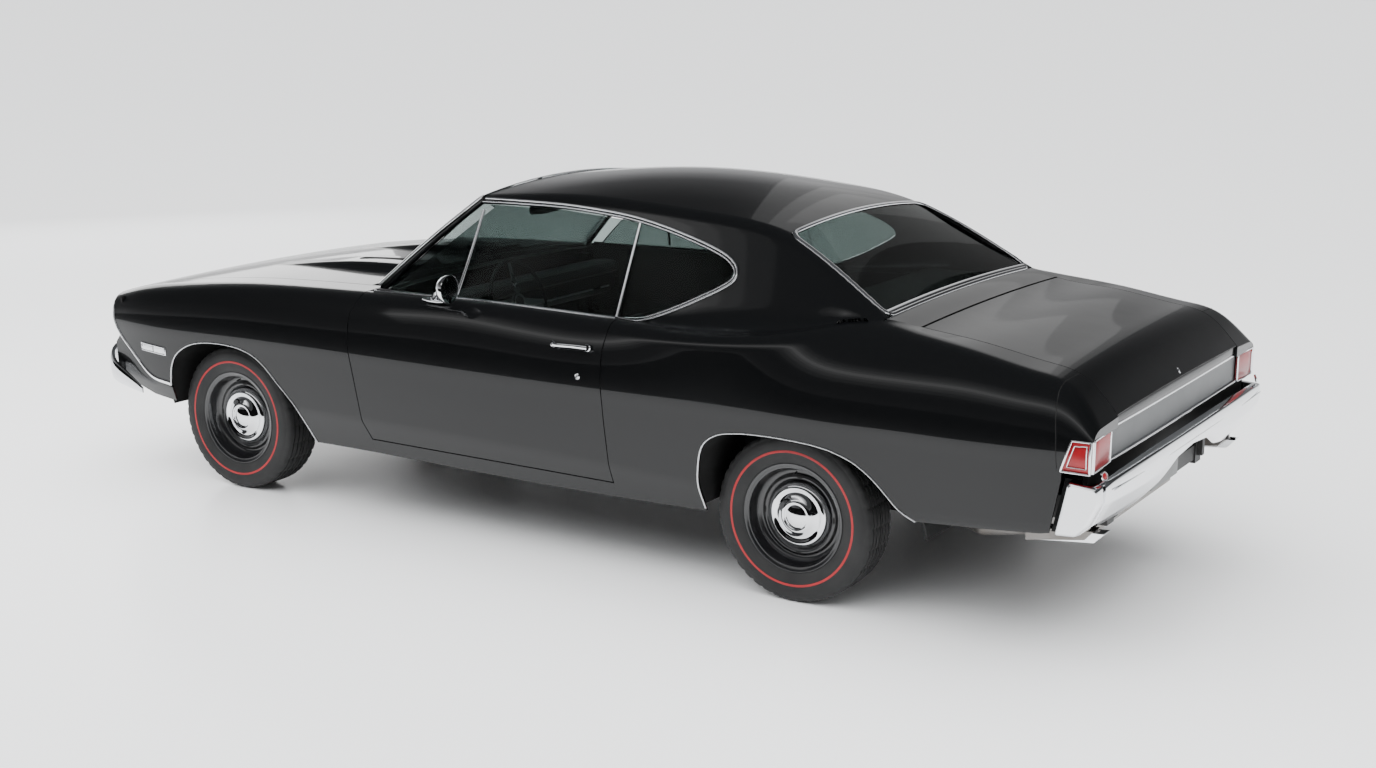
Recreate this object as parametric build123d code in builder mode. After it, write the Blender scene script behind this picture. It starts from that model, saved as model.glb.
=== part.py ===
from build123d import *
import math
import os

# Two-door hardtop muscle car, built as an assembly of separate pieces.
# Millimetres, +X forward, +Y to the car's left, +Z up, origin on the floor under the middle of the car.

os.makedirs("parts", exist_ok=True)

# Driving dimensions
WHEELBASE = 2845.0
DRAWN_WHEELBASE = 2845.0
FRONT_AXLE_X = 1610.0
REAR_AXLE_X = FRONT_AXLE_X - WHEELBASE
STRETCH = WHEELBASE - DRAWN_WHEELBASE
REAR_START_X = -550.0
TYRE_RADIUS = 324.0
WHEEL_PLANE_Y = 750.0
AXLE_Z = TYRE_RADIUS
KINGPIN_Y = 690.0
HUB_Y = 780.0
SHUT_GAP = 8.0
SKIN = 14.0
PANEL = 20.0
GLASS = 6.0
SEAT_GAP = 0.3


def aft(points):
    """Points or rows led by x, those behind the doors moved back with the rear axle."""
    return [(x - STRETCH if x < REAR_START_X else x, *rest) for x, *rest in points]


# Body sides, one row per station along the car
# columns: x, seam y, seam z, shoulder y, shoulder z, widest y, widest z, crease y, crease z, sill y, sill z, crown z
BODY = aft([
    (2390, 704, 817, 778, 815, 868, 690, 862, 480, 835, 400, 828),
    (2250, 704, 856, 800, 852, 895, 695, 885, 465, 852, 375, 868),
    (2000, 704, 898, 830, 892, 925, 700, 915, 450, 880, 345, 915),
    (1610, 704, 942, 848, 935, 942, 715, 930, 437, 890, 305, 958),
    (900, 704, 975, 850, 968, 945, 725, 932, 440, 890, 300, 992),
    (250, 704, 995, 846, 988, 940, 725, 930, 440, 890, 297, 1010),
    (-430, 704, 993, 846, 985, 942, 730, 930, 432, 890, 300, 1010),
    (-1235, 680, 1040, 864, 1025, 955, 740, 935, 420, 900, 330, 1060),
    (-1521, 690, 1081, 735, 1068, 954, 742, 933, 428, 898, 350, 1100),
    (-1650, 652, 1058, 745, 1060, 953, 745, 930, 435, 895, 365, 1070),
    (-1900, 664, 1032, 798, 1026, 948, 745, 925, 450, 890, 400, 1042),
    (-2150, 678, 992, 823, 984, 942, 750, 925, 470, 892, 420, 1004),
    (-2300, 688, 945, 843, 938, 938, 755, 925, 485, 896, 432, 955),
    (-2405, 695, 838, 885, 830, 936, 760, 925, 500, 900, 440, 845),
])

# Roof, pillars and side glass, one row per station
# columns: x, rail y, rail z, foot y, foot z, crown z
HOUSE = aft([
    (800, 742, 988, 806, 972, 1012),
    (360, 600, 1385, 811, 975, 1424),
    (-100, 610, 1415, 811, 975, 1465),
    (-700, 600, 1390, 811, 975, 1440),
    (-1050, 585, 1335, 811, 985, 1370),
    (-1521, 690, 1083, 811, 1000, 1100),
])

ROOF_WALL = 32.0
DOOR_INNER_Y = 790.0
DOOR_FLANGE = 26.0
HINGE_X = 765.0
HINGE_Y = 925.0
DOOR_BOTTOM_Z = 366.0
SILL_FRONT_X = 752.7
SILL_REAR_X = -485.7
HOOD_REAR_X = 905.0
HOOD_FRONT_X = 2388.0
LID_FRONT_X = -1654.0 - STRETCH
LID_REAR_X = -2388.0 - STRETCH
LAMP_BACK_X = -2380.0 - STRETCH
LAMP_FRONT_X = -2298.3 - STRETCH
DECK_X = -1521.0 - STRETCH
SHELF_X = -1050.0 - STRETCH
FLOOR_Z = 330.0
FLOOR_THICK = 12.0
SEAT_Y = 405.0
SEAT_HALF = 225.0
REAR_SEAT_HALF = 585.0
FIREWALL_X = 860.0
DRIVER_Y = 370.0
COLUMN_END = (380.0, DRIVER_Y, 900.0)
RAIL_WIDTH = 70.0
RAIL_HEIGHT = 90.0
LIFT_PAD_Z = 232.0
BRACKET_TOP_Z = 599.7
ENGINE_BACK_X = 1000.0
SPRING_TOP_Z = 469.4
FRONT_RAIL_Y = 370.0
ARM_REACH = 110.0
PIPE_RADIUS = 28.0
TANK_X = -2050.0 - STRETCH
BUMPER_BACK_X = -2430.0 - STRETCH
TRUNK_END_X = -2330.0 - STRETCH

HOOD_GAP = 10.0
COWL_DROP = 50.0
COWL_STEP_X = 862.0
COWL_FRONT_X = HOOD_REAR_X - HOOD_GAP
HOOD_AXIS_X = 900.0
HOOD_AXIS_Z = 945.0
HOOD_HINGE_Y = 640.0
LID_AXIS_X = -1649.0 - STRETCH
LID_AXIS_Z = 1066.0
LID_HINGE_Y = 200.0
LID_PIN = 4.7
PIN = 5.0
POST_X = 790.0
POST_Y = 775.0
DOOR_HINGES = (665.0, 785.0)
HINGE_HALF = 18.0
HINGE_POCKET = 32.0
GLASS_EDGE = 6.0
PANEL_RAISE = 6.0
PANEL_HALF = 880.0
BULGE_Y = 300.0
BULGE_EDGE = 24.0
PLATE_X = -2358.0 - STRETCH
PLATE_HALF = 152.0
PLATE_LOW_Z = 437.0
PLATE_HEIGHT = 150.0
WELL_WALL = 8.0
WELL_BOTTOM_Z = 330.0
FRONT_WELL_Y = 405.3
REAR_WELL_Y = 600.0
TRUNK_HALF = REAR_WELL_Y - SEAT_GAP
LINK_CLEAR = 10.0

# Shut lines and openings seen from the side, points of x, z
DOOR_LINE = [
    (829, 1060), (829, 953), (851, 887), (834, 747), (780, 444), (745, 366),
    (-478, 366), (-452, 600), (-430, 880), (-430, 1060),
]
FENDER_LINE = [
    (753, 1100), (753, 250), (1915, 250), (1915, 440), (2074, 468), (2192, 554), (2315, 656), (2370, 778),
    (2346, 833), (2346, 1100),
]
VALENCE_LINE = [
    (1915, 368), (1915, 439.7), (2074, 467.7), (2192, 553.7), (2296, 639.8), (2335, 600), (2335, 500),
    (2240, 425), (2085, 383),
]
FRONT_ARCH = [
    (1915, 250), (1940, 454), (1922, 538), (1878, 605), (1795, 651), (1706, 673), (1517, 679), (1388, 650),
    (1270, 552), (1146, 432), (1058, 250),
]
FRONT_WELL = [
    (1972, 250), (1972, 400), (1940, 560), (1860, 680), (1720, 715), (1500, 715), (1370, 690), (1250, 590),
    (1130, 450), (1045, 250),
]
REAR_ARCH = aft([
    (-906, 250), (-880, 453), (-895, 553), (-923, 599), (-973, 630), (-1105, 651), (-1320, 651), (-1451, 636),
    (-1542, 610), (-1602, 573), (-1696, 466), (-1768, 418), (-1800, 250),
])
QUARTER_LINE = aft([
    (-400, 1120), (-400, 358), (-486, 358), (-486, 250), (-1775, 250), (-1768, 418), (-2010, 433),
    (-2224, 453), (-2262, 460), (-2300, 657), (-2298, 692), (-2298, 800), (-2410, 800), (-2410, 1120),
])
LOCK_PILLAR = [
    (-438, 960), (-438, 880), (-460, 600), (-486, 366), (-512, 366), (-486, 600), (-464, 880), (-464, 960),
]
SIDE_WINDOW = aft([
    (800, 940), (310, 1341), (361, 1357), (-52, 1366), (-382, 1347), (-632, 1298), (-821, 1242), (-884, 1195),
    (-879, 1169), (-838, 1139), (-715, 1074), (-555, 1004), (-431, 960),
])
BACKLIGHT = aft([(-1054, 560), (-1521, 662), (-1521, -662), (-1054, -560)])


def shoulder_middle(row, inset):
    """Middle point of the arc from the widest point up to the shoulder."""
    top_y, top_z, max_y, max_z = row[3:7]
    depth, rise = max_y - top_y, top_z - max_z
    radius = (depth * depth + rise * rise) / (2 * depth)
    half = math.asin(rise / radius) / 2
    return (max_y - radius + (radius - inset) * math.cos(half), max_z + (radius - inset) * math.sin(half))


def side_section(row, inset):
    """Closed outline of one body side at a station, moved inwards by the inset."""
    x, seam_y, seam_z, top_y, top_z, max_y, max_z, crease_y, crease_z, sill_y, sill_z, _ = row
    with BuildSketch(Plane.YZ.offset(x)) as sketch:
        with BuildLine():
            start = (seam_y - inset, seam_z - inset)
            top = (top_y - inset * 0.7, top_z - inset)
            widest = (max_y - inset, max_z)
            crease = (crease_y - inset, crease_z)
            sill = (sill_y - inset, sill_z - 2 * inset)
            inner = (seam_y - inset, sill_z - 2 * inset)
            Line(start, top)
            ThreePointArc(top, shoulder_middle(row, inset), widest)
            Line(widest, crease)
            Line(crease, sill)
            Line(sill, inner)
            Line(inner, start)
        make_face()
    return sketch.sketch


def top_section(row, gap, drop, depth=PANEL):
    """Closed outline of the arched top at a station, its edges a gap inside the two seams and its top lowered."""
    x, seam_y, edge, crown = row[0], row[1] - gap, row[2] - drop, row[11] - drop
    with BuildSketch(Plane.YZ.offset(x)) as sketch:
        with BuildLine():
            ThreePointArc((-seam_y, edge), (0, crown), (seam_y, edge))
            Line((seam_y, edge), (seam_y, edge - depth))
            ThreePointArc((seam_y, edge - depth), (0, crown - depth), (-seam_y, edge - depth))
            Line((-seam_y, edge - depth), (-seam_y, edge))
        make_face()
    return sketch.sketch


def house_section(row, inset):
    """Closed outline of the roof and its pillars at a station."""
    x, rail_y, rail_z, foot_y, foot_z, crown = row
    low = foot_z - (0 if inset == 0 else 3 * inset)
    with BuildSketch(Plane.YZ.offset(x)) as sketch:
        with BuildLine():
            Line((foot_y - inset, low), (rail_y - inset, rail_z - inset * 0.6))
            ThreePointArc((rail_y - inset, rail_z - inset * 0.6), (0, crown - inset), (inset - rail_y, rail_z - inset * 0.6))
            Line((inset - rail_y, rail_z - inset * 0.6), (inset - foot_y, low))
            Line((inset - foot_y, low), (foot_y - inset, low))
        make_face()
    return sketch.sketch


def side_prism(points, y_near, y_far, grow=0.0):
    """Prism of a side-view outline between two distances from the middle, its outline moved out by grow."""
    with BuildPart(mode=Mode.PRIVATE) as prism:
        with BuildSketch(Plane.XZ.offset(-y_near)):
            with BuildLine():
                Polyline(*points, close=True)
            make_face()
            if grow:
                offset(amount=grow, kind=Kind.INTERSECTION)
        extrude(amount=-(y_far - y_near))
    return prism.part


def plan_prism(points, z_low, z_high):
    """Prism of a plan-view outline between two heights."""
    with BuildPart(mode=Mode.PRIVATE) as prism:
        with BuildSketch(Plane.XY.offset(z_low)):
            with BuildLine():
                Polyline(*points, close=True)
            make_face()
        extrude(amount=z_high - z_low)
    return prism.part


def block(low, high):
    """Rectangular block between two corners."""
    size = [b - a for a, b in zip(low, high)]
    return Pos(*[(a + b) / 2 for a, b in zip(low, high)]) * Box(*size, mode=Mode.PRIVATE)


def ribbon(rows):
    """Bar through rows of x, y, z, heading in degrees, thickness, height."""
    with BuildPart(mode=Mode.PRIVATE) as bar:
        for x, y, z, heading, thick, height in rows:
            a = math.radians(heading)
            plane = Plane(origin=(x, y, z), x_dir=(math.sin(a), -math.cos(a), 0), z_dir=(math.cos(a), math.sin(a), 0))
            with BuildSketch(plane):
                Rectangle(thick, height)
        loft(ruled=True)
    return bar.part


def rail(rows):
    """Box-section rail through rows of x, y, z, width, height."""
    with BuildPart(mode=Mode.PRIVATE) as bar:
        for x, y, z, width, height in rows:
            with BuildSketch(Plane.YZ.offset(x)):
                with Locations((y, z)):
                    Rectangle(width, height)
        loft(ruled=True)
    return bar.part


def mirrored(part):
    """Copy of a piece on the car's other side."""
    return mirror(part, about=Plane.XZ, mode=Mode.PRIVATE)


def tube(start, end, outer, inner=0.0):
    """Round bar or tube from one point to another."""
    direction = Vector(*end) - Vector(*start)
    with BuildPart(mode=Mode.PRIVATE) as bar:
        with BuildSketch(Plane(origin=start, z_dir=direction)):
            Circle(outer)
            if inner:
                Circle(inner, mode=Mode.SUBTRACT)
        extrude(amount=direction.length)
    return bar.part


# Body side as a full block and as a thin wall, for the left side
side_full = loft([side_section(row, 0) for row in BODY], ruled=True)
side_core = loft([side_section(row, SKIN) for row in BODY], ruled=True)
side_wall = side_full - side_core
lid_wall = loft([top_section(row, SHUT_GAP, 0.0) for row in BODY], ruled=True)
deck_wall = loft([top_section(row, SEAT_GAP, 0.0) for row in BODY], ruled=True)
cowl_gutter = loft([top_section(row, SEAT_GAP, COWL_DROP) for row in BODY[3:6]], ruled=True)
cowl_shelf = loft([top_section(row, SEAT_GAP, SHUT_GAP) for row in BODY[3:6]], ruled=True)
cowl_web = loft([top_section(row, SEAT_GAP, SHUT_GAP, COWL_DROP + PANEL / 2) for row in BODY[3:6]], ruled=True)
house_full = loft([house_section(row, 0) for row in HOUSE], ruled=True)
house_core = loft([house_section(row, ROOF_WALL) for row in HOUSE], ruled=True)
house_skin = house_full - loft([house_section(row, GLASS) for row in HOUSE], ruled=True)

door_opening = side_prism(DOOR_LINE, 640, 1000, SHUT_GAP)
front_arch = side_prism(FRONT_ARCH, 640, 1000)
rear_arch = side_prism(REAR_ARCH, 640, 1000)


def wheel_well(outline, y_inner, grow):
    """Open box over a wheel that follows the arch, closed towards the middle of the car."""
    shell = side_prism(outline, y_inner, 1000, grow + WELL_WALL)
    shell -= side_prism(outline, y_inner + WELL_WALL, 1000, grow)
    room = side_core + block((BUMPER_BACK_X, y_inner, 200), (2500, 700, 730))
    return (shell & room) - block((BUMPER_BACK_X, 0, 0), (2500, 1000, WELL_BOTTOM_Z))


# Front fenders, each with its inner wheel well
with BuildPart() as fender_left:
    add(side_wall)
    add(side_prism(FENDER_LINE, 640, 1000), mode=Mode.INTERSECT)
    add(front_arch, mode=Mode.SUBTRACT)
    add(door_opening, mode=Mode.SUBTRACT)
    add(wheel_well(FRONT_WELL, FRONT_WELL_Y, 0.0))
    add(block((1565, 400, 300), (1655, 450, 450)), mode=Mode.SUBTRACT)
fender_left.part.label = "fender_left"

with BuildPart() as fender_right:
    add(mirrored(fender_left.part))
fender_right.part.label = "fender_right"

# Rear quarter panels, each with its lock pillar and wheel housing
with BuildPart() as quarter_left:
    add(side_wall)
    add(side_full & side_prism(LOCK_PILLAR, 780, 1000))
    add(side_prism(QUARTER_LINE, 640, 1000), mode=Mode.INTERSECT)
    add(rear_arch, mode=Mode.SUBTRACT)
    add(door_opening, mode=Mode.SUBTRACT)
    add(wheel_well(REAR_ARCH, REAR_WELL_Y, 10.0))
    add(block((REAR_AXLE_X - 60, 590, 300), (REAR_AXLE_X + 60, 620, 430)), mode=Mode.SUBTRACT)
quarter_left.part.label = "quarter_left"

with BuildPart() as quarter_right:
    add(mirrored(quarter_left.part))
quarter_right.part.label = "quarter_right"

# Sills under the doors
with BuildPart() as rockers:
    sill = side_full & block((SILL_REAR_X, 704, 200), (SILL_FRONT_X, 1000, DOOR_BOTTOM_Z - SHUT_GAP))
    add(sill)
    add(mirrored(sill))
rockers.part.label = "rockers"

# Windscreen pillars, from the cowl up to the roof's front edge
with BuildPart() as pillar:
    add(rail([(812, 744, 978, 44, 52), (360, 580, 1366, 44, 36)]))
    add(side_prism(SIDE_WINDOW, 500, 900), mode=Mode.SUBTRACT)

# Roof with its rear pillars and windscreen pillars
with BuildPart() as roof:
    add(house_full - house_core)
    add(block((DECK_X, -900, 980), (360, 900, 1500)), mode=Mode.INTERSECT)
    add(side_prism(SIDE_WINDOW, -900, 900), mode=Mode.SUBTRACT)
    add(plan_prism(BACKLIGHT, 900, 1500), mode=Mode.SUBTRACT)
    add(side_full, mode=Mode.SUBTRACT)
    add(mirrored(side_full), mode=Mode.SUBTRACT)
    add(pillar.part)
    add(mirrored(pillar.part))
roof.part.label = "roof"

# Doors: an outer skin with a thicker inner panel set in from its edges, pocketed round the hinges
with BuildPart() as door_left:
    add(side_full & side_prism(DOOR_LINE, DOOR_INNER_Y, 1000, -DOOR_FLANGE))
    for z in DOOR_HINGES:
        add(block((HINGE_X - 40, 700, z - HINGE_POCKET), (900, 1000, z + HINGE_POCKET)), mode=Mode.SUBTRACT)
    add(side_wall & side_prism(DOOR_LINE, DOOR_INNER_Y, 1000))
    for z in DOOR_HINGES:
        knuckle_z = z + HINGE_HALF + SEAT_GAP
        add(block((HINGE_X - 10, 880, z - HINGE_POCKET), (HINGE_X + 22, HINGE_Y + 4, knuckle_z)), mode=Mode.SUBTRACT)
        add(tube((HINGE_X, HINGE_Y, z - HINGE_POCKET), (HINGE_X, HINGE_Y, knuckle_z), PIN + SEAT_GAP), mode=Mode.SUBTRACT)
        add(block((HINGE_X - 60, HINGE_Y - 6, knuckle_z), (HINGE_X, HINGE_Y, z + HINGE_POCKET + 4)))
        add(tube((HINGE_X, HINGE_Y, knuckle_z), (HINGE_X, HINGE_Y, z + HINGE_POCKET), PIN))
door_left.part.label = "door_left"

with BuildPart() as door_right:
    add(mirrored(door_left.part))
door_right.part.label = "door_right"

# columns: x, half width, foot z, top z of each raised bulge on the hood
BULGES = [(1950, 70, 905, 918), (1500, 115, 950, 978), (1150, 135, 965, 1006), (960, 140, 974, 1018)]

# Hinged top panels, both cut from the arched top
with BuildPart() as hood:
    add(lid_wall)
    add(block((HOOD_REAR_X, -1000, 500), (HOOD_FRONT_X, 1000, 1200)), mode=Mode.INTERSECT)
    for side in (-1, 1):
        y = side * HOOD_HINGE_Y
        add(block((HOOD_AXIS_X, y - 20, HOOD_AXIS_Z + PIN + SEAT_GAP), (HOOD_AXIS_X + 12, y + 20, HOOD_AXIS_Z + 20)))
        with BuildPart(mode=Mode.PRIVATE) as bulge:
            for x, half, low, high in BULGES:
                with BuildSketch(Plane.YZ.offset(x)):
                    with BuildLine():
                        Polyline((-half, low), (BULGE_EDGE - half, high), (half - BULGE_EDGE, high), (half, low), close=True)
                    make_face()
            loft(ruled=True)
        add(Pos(0, side * BULGE_Y, 0) * bulge.part)
hood.part.label = "hood"

with BuildPart() as trunk_lid:
    add(lid_wall)
    add(block((LID_REAR_X, -1000, 500), (LID_FRONT_X, 1000, 1200)), mode=Mode.INTERSECT)
trunk_lid.part.label = "trunk_lid"

# Cowl between the hood and the windscreen, with the firewall, hinge posts and door hinges
with BuildPart() as cowl:
    add(cowl_gutter & block((FIREWALL_X - 2, -1000, 500), (COWL_FRONT_X, 1000, 1200)))
    add(cowl_shelf & block((760, -1000, 500), (COWL_STEP_X, 1000, 1200)))
    add(cowl_web & block((FIREWALL_X - FLOOR_THICK, -1000, 500), (COWL_STEP_X, 1000, 1200)))
    add(block((FIREWALL_X - FLOOR_THICK, -POST_Y, FLOOR_Z + FLOOR_THICK), (FIREWALL_X, POST_Y, 930)))
    add(block((FIREWALL_X - FLOOR_THICK, -178, 300), (FIREWALL_X, 178, 470)), mode=Mode.SUBTRACT)
    for side in (-1, 1):
        y = side * HOOD_HINGE_Y
        add(block((COWL_FRONT_X - 8, y - 20, HOOD_AXIS_Z - 30), (HOOD_AXIS_X, y + 20, HOOD_AXIS_Z)))
        add(tube((HOOD_AXIS_X, y - 20, HOOD_AXIS_Z), (HOOD_AXIS_X, y + 20, HOOD_AXIS_Z), PIN))
    post = block((POST_X, POST_Y - 40, FLOOR_Z + FLOOR_THICK), (FIREWALL_X - FLOOR_THICK, POST_Y, 930))
    for z in DOOR_HINGES:
        post += block((HINGE_X - 4, POST_Y - 12, z - HINGE_HALF), (POST_X + 1, POST_Y, z + HINGE_HALF))
        post += block((HINGE_X - 4, POST_Y - 1, z - HINGE_HALF), (HINGE_X + 2, HINGE_Y - 4, z + HINGE_HALF))
        post += tube((HINGE_X, HINGE_Y, z - HINGE_HALF), (HINGE_X, HINGE_Y, z + HINGE_HALF), PIN)
    add(post)
    add(mirrored(post))
    add(pillar.part, mode=Mode.SUBTRACT)
    add(mirrored(pillar.part), mode=Mode.SUBTRACT)
cowl.part.label = "cowl"

# Deck between the rear window and the trunk lid, with the parcel shelf and the lid's hinge pins
with BuildPart() as deck_filler:
    add(deck_wall)
    add(block((LID_FRONT_X + HOOD_GAP, -1000, 900), (DECK_X, 1000, 1200)), mode=Mode.INTERSECT)
    add(block((DECK_X, -670, 1030), (SHELF_X, 670, 1042)))
    add(block((DECK_X - 39, -670, 1030), (DECK_X, 670, 1080)))
    for side in (-1, 1):
        y = side * LID_HINGE_Y
        add(tube((LID_AXIS_X, y - 30, LID_AXIS_Z), (LID_AXIS_X, y + 30, LID_AXIS_Z), LID_PIN))
        add(block((LID_AXIS_X, y - 30, LID_AXIS_Z - 12), (LID_FRONT_X + HOOD_GAP, y + 30, LID_AXIS_Z)))
deck_filler.part.label = "deck_filler"

# Panel across the tail between the lamps
with BuildPart() as tail_panel:
    add(block((LAMP_BACK_X, -889, 600), (LAMP_BACK_X + 18, 889, 828)))
    add(block((LAMP_BACK_X - PANEL_RAISE, -PANEL_HALF, 735), (LAMP_BACK_X, PANEL_HALF, 828)))
tail_panel.part.label = "tail_panel"

# Glass
with BuildPart() as windshield:
    with BuildSketch(Plane.XY.offset(972)):
        with BuildLine():
            ThreePointArc((809, -724), (856, 0), (809, 724))
            Line((809, 724), (809 - GLASS, 724))
            ThreePointArc((809 - GLASS, 724), (856 - GLASS, 0), (809 - GLASS, -724))
            Line((809 - GLASS, -724), (809, -724))
        make_face()
    with BuildSketch(Plane.XY.offset(1384)):
        with BuildLine():
            ThreePointArc((368, -574), (384, 0), (368, 574))
            Line((368, 574), (368 - GLASS, 574))
            ThreePointArc((368 - GLASS, 574), (384 - GLASS, 0), (368 - GLASS, -574))
            Line((368 - GLASS, -574), (368, -574))
        make_face()
    loft(ruled=True)
    add(pillar.part, mode=Mode.SUBTRACT)
    add(mirrored(pillar.part), mode=Mode.SUBTRACT)
    add(cowl.part, mode=Mode.SUBTRACT)
    add(roof.part, mode=Mode.SUBTRACT)
windshield.part.label = "windshield"

with BuildPart() as backlight:
    add(house_skin)
    add(plan_prism(BACKLIGHT, 1040, 1500), mode=Mode.INTERSECT)
backlight.part.label = "backlight"

with BuildPart() as door_glass_left:
    add(house_skin)
    add(side_prism(SIDE_WINDOW, 400, 900, -GLASS_EDGE), mode=Mode.INTERSECT)
    add(block((-425, 400, 980), (900, 900, 1500)), mode=Mode.INTERSECT)
    add(door_left.part, mode=Mode.SUBTRACT)
door_glass_left.part.label = "door_glass_left"

with BuildPart() as door_glass_right:
    add(mirrored(door_glass_left.part))
door_glass_right.part.label = "door_glass_right"

with BuildPart() as quarter_windows:
    pane = house_skin & side_prism(SIDE_WINDOW, 400, 900)
    pane = (pane & block((-1000, 400, 980), (-425 - SHUT_GAP, 900, 1500))) - quarter_left.part
    add(pane)
    add(mirrored(pane))
quarter_windows.part.label = "quarter_windows"

# Perimeter frame: two side rails joined by crossmembers
# columns: x, y, z, width, height
FRAME_RAIL = aft([
    (2371.7, FRONT_RAIL_Y, 395, RAIL_WIDTH, RAIL_HEIGHT),
    (1300, FRONT_RAIL_Y, 385, RAIL_WIDTH, RAIL_HEIGHT),
    (1030, FRONT_RAIL_Y, 330, RAIL_WIDTH, RAIL_HEIGHT),
    (852, 640, 284.7, RAIL_WIDTH, RAIL_HEIGHT),
    (-600, 650, 284.7, RAIL_WIDTH, RAIL_HEIGHT),
    (-820, 520, 390, RAIL_WIDTH, RAIL_HEIGHT),
    (-1000, 480, 514.7, RAIL_WIDTH, RAIL_HEIGHT),
    (-1480, 480, 514.7, RAIL_WIDTH, RAIL_HEIGHT),
    (-1740, 500, 444.7, RAIL_WIDTH, RAIL_HEIGHT),
    (-2330, 500, 444.7, RAIL_WIDTH, RAIL_HEIGHT),
])
# columns: x, z, reach of each crossmember
CROSSMEMBERS = [(2240, 395, FRONT_RAIL_Y), (560, 284.7, 640), (-530, 270, 650), (-1540, 480, 480), (-2290, 444.7, 500)]
# columns: x, y of the lift pads under the left rail
LIFT_PADS = [(500, 642), (-450, 649)]
with BuildPart() as frame:
    side_rail = rail(FRAME_RAIL)
    add(side_rail)
    add(mirrored(side_rail))
    for x, z, reach in aft(CROSSMEMBERS):
        add(block((x - 35, -reach, z - 30), (x + 35, reach, z + 30)))
    for side in (-1, 1):
        y = side * 500
        add(block((TRUNK_END_X - 20, y - 15, 430), (TRUNK_END_X, y + 15, BRACKET_TOP_Z)))
        add(block((BUMPER_BACK_X + SEAT_GAP, y - 15, BRACKET_TOP_Z - 35), (TRUNK_END_X, y + 15, BRACKET_TOP_Z)))
    for x, y in LIFT_PADS:
        pad = block((x - 60, y - 35, LIFT_PAD_Z), (x + 60, y + 35, LIFT_PAD_Z + 20))
        add(pad)
        add(mirrored(pad))
frame.part.label = "frame"

# columns: y, z of the cabin floor and its tunnel; x, z of the trunk floor
FLOOR_SECTION = [
    (-703.7, 330), (-170, 330), (-130, 470), (130, 470), (170, 330), (703.7, 330), (703.7, 342), (178, 342),
    (138, 482), (-138, 482), (-178, 342), (-703.7, 342),
]
TRUNK_SECTION = aft([
    (-540, 330), (-540, 560), (-1640, 560), (-1740, 490), (-2329.7, 490), (-2329.7, 502), (-1743, 502),
    (-1643, 572), (-528, 572), (-528, 330),
])

# Floor with its tunnel, the rear footwell step and the boot floor
with BuildPart() as floor_pan:
    with BuildSketch(Plane.YZ.offset(-540)):
        with BuildLine():
            Polyline(*FLOOR_SECTION, close=True)
        make_face()
    extrude(amount=FIREWALL_X - FLOOR_THICK + 540)
    with BuildSketch(Plane.XZ.offset(TRUNK_HALF)):
        with BuildLine():
            Polyline(*TRUNK_SECTION, close=True)
        make_face()
    extrude(amount=-2 * TRUNK_HALF)
    add(block((-545, -70, 320), (-525, 70, 430)), mode=Mode.SUBTRACT)
floor_pan.part.label = "floor_pan"

# Front end: grille, lamps, bumper and lower panel
with BuildPart() as grille:
    for z in range(640, 790, 24):
        add(block((2318, -470, z), (2330, 470, z + 8)))
    for y in range(-460, 461, 92):
        add(block((2308, y - 3, 632), (2318, y + 3, 796)))
    plate = block((2296, -900, 620), (2308, 900, 814))
    middle = block((2296, -704 + PANEL, 620), (2308, 704 - PANEL, 814))
    add((plate & side_core) + (plate & mirrored(side_core)) + middle)
grille.part.label = "grille"

with BuildPart() as headlamps:
    for y in (560, 725):
        for side in (-1, 1):
            add(tube((2308, side * y, 712), (2346, side * y, 712), 74))
headlamps.part.label = "headlamps"

# columns: x, y, z, heading, thickness, height
FRONT_BUMPER = [
    (2452, 0, 520, 90, 40, 140), (2452, 560, 520, 90, 40, 140), (2420, 800, 512, 110, 36, 128),
    (2330, 905, 480, 150, 24, 100), (2110, 925, 402, 175, 10, 36),
]
with BuildPart() as front_bumper:
    half = ribbon(FRONT_BUMPER)
    add(half)
    add(mirrored(half))
front_bumper.part.label = "front_bumper"

with BuildPart() as front_valence:
    add(side_wall)
    add(side_prism(VALENCE_LINE, 640, 1000), mode=Mode.INTERSECT)
    add(block((0, 0, 0), (3000, 820, 3000)), mode=Mode.SUBTRACT)
    add(mirrored(front_valence.part))
    add(block((2372, -780, 400), (2386, 780, 600)))
    for side in (-1, 1):
        add(block((2386, side * 370 - 20, 490), (2431.7, side * 370 + 20, 550)))
front_valence.part.label = "front_valence"

# Rear bumper: a deep bright blade whose lower edge rises towards the middle, closed by flat ends
# columns: y, then x, z round the section from the top's front edge over the face to the back
REAR_BUMPER = [
    (0, (-2430, 660), (-2468, 655), (-2472.7, 600), (-2452, 545), (-2430, 549), (-2430, 600)),
    (330, (-2430, 663), (-2468, 658), (-2472.7, 588), (-2442, 520), (-2425, 526), (-2430, 558)),
    (600, (-2430, 660), (-2463, 655), (-2469, 585), (-2404, 482), (-2388, 490), (-2430, 557)),
    (870, (-2422, 655), (-2453, 648), (-2456, 590), (-2372, 471), (-2358, 480), (-2420, 575)),
    (897, (-2418, 655), (-2449, 648), (-2451, 590), (-2366, 469), (-2350, 476), (-2412, 590)),
    (905, (-2302, 656), (-2446, 647), (-2447, 590), (-2362, 467), (-2262, 460), (-2281, 558)),
    (936, (-2302, 656), (-2436, 645), (-2430, 590), (-2345, 464), (-2262, 460), (-2281, 558)),
    (952, (-2306, 648), (-2415, 638), (-2402, 590), (-2325, 470), (-2268, 468), (-2286, 558)),
]
with BuildPart() as rear_bumper:
    for y, *section in REAR_BUMPER:
        with BuildSketch(Plane.XZ.offset(-y)):
            with BuildLine():
                Polyline(*aft(section), close=True)
            make_face()
    loft(ruled=True)
    add(mirrored(rear_bumper.part))
rear_bumper.part.label = "rear_bumper"

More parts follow.
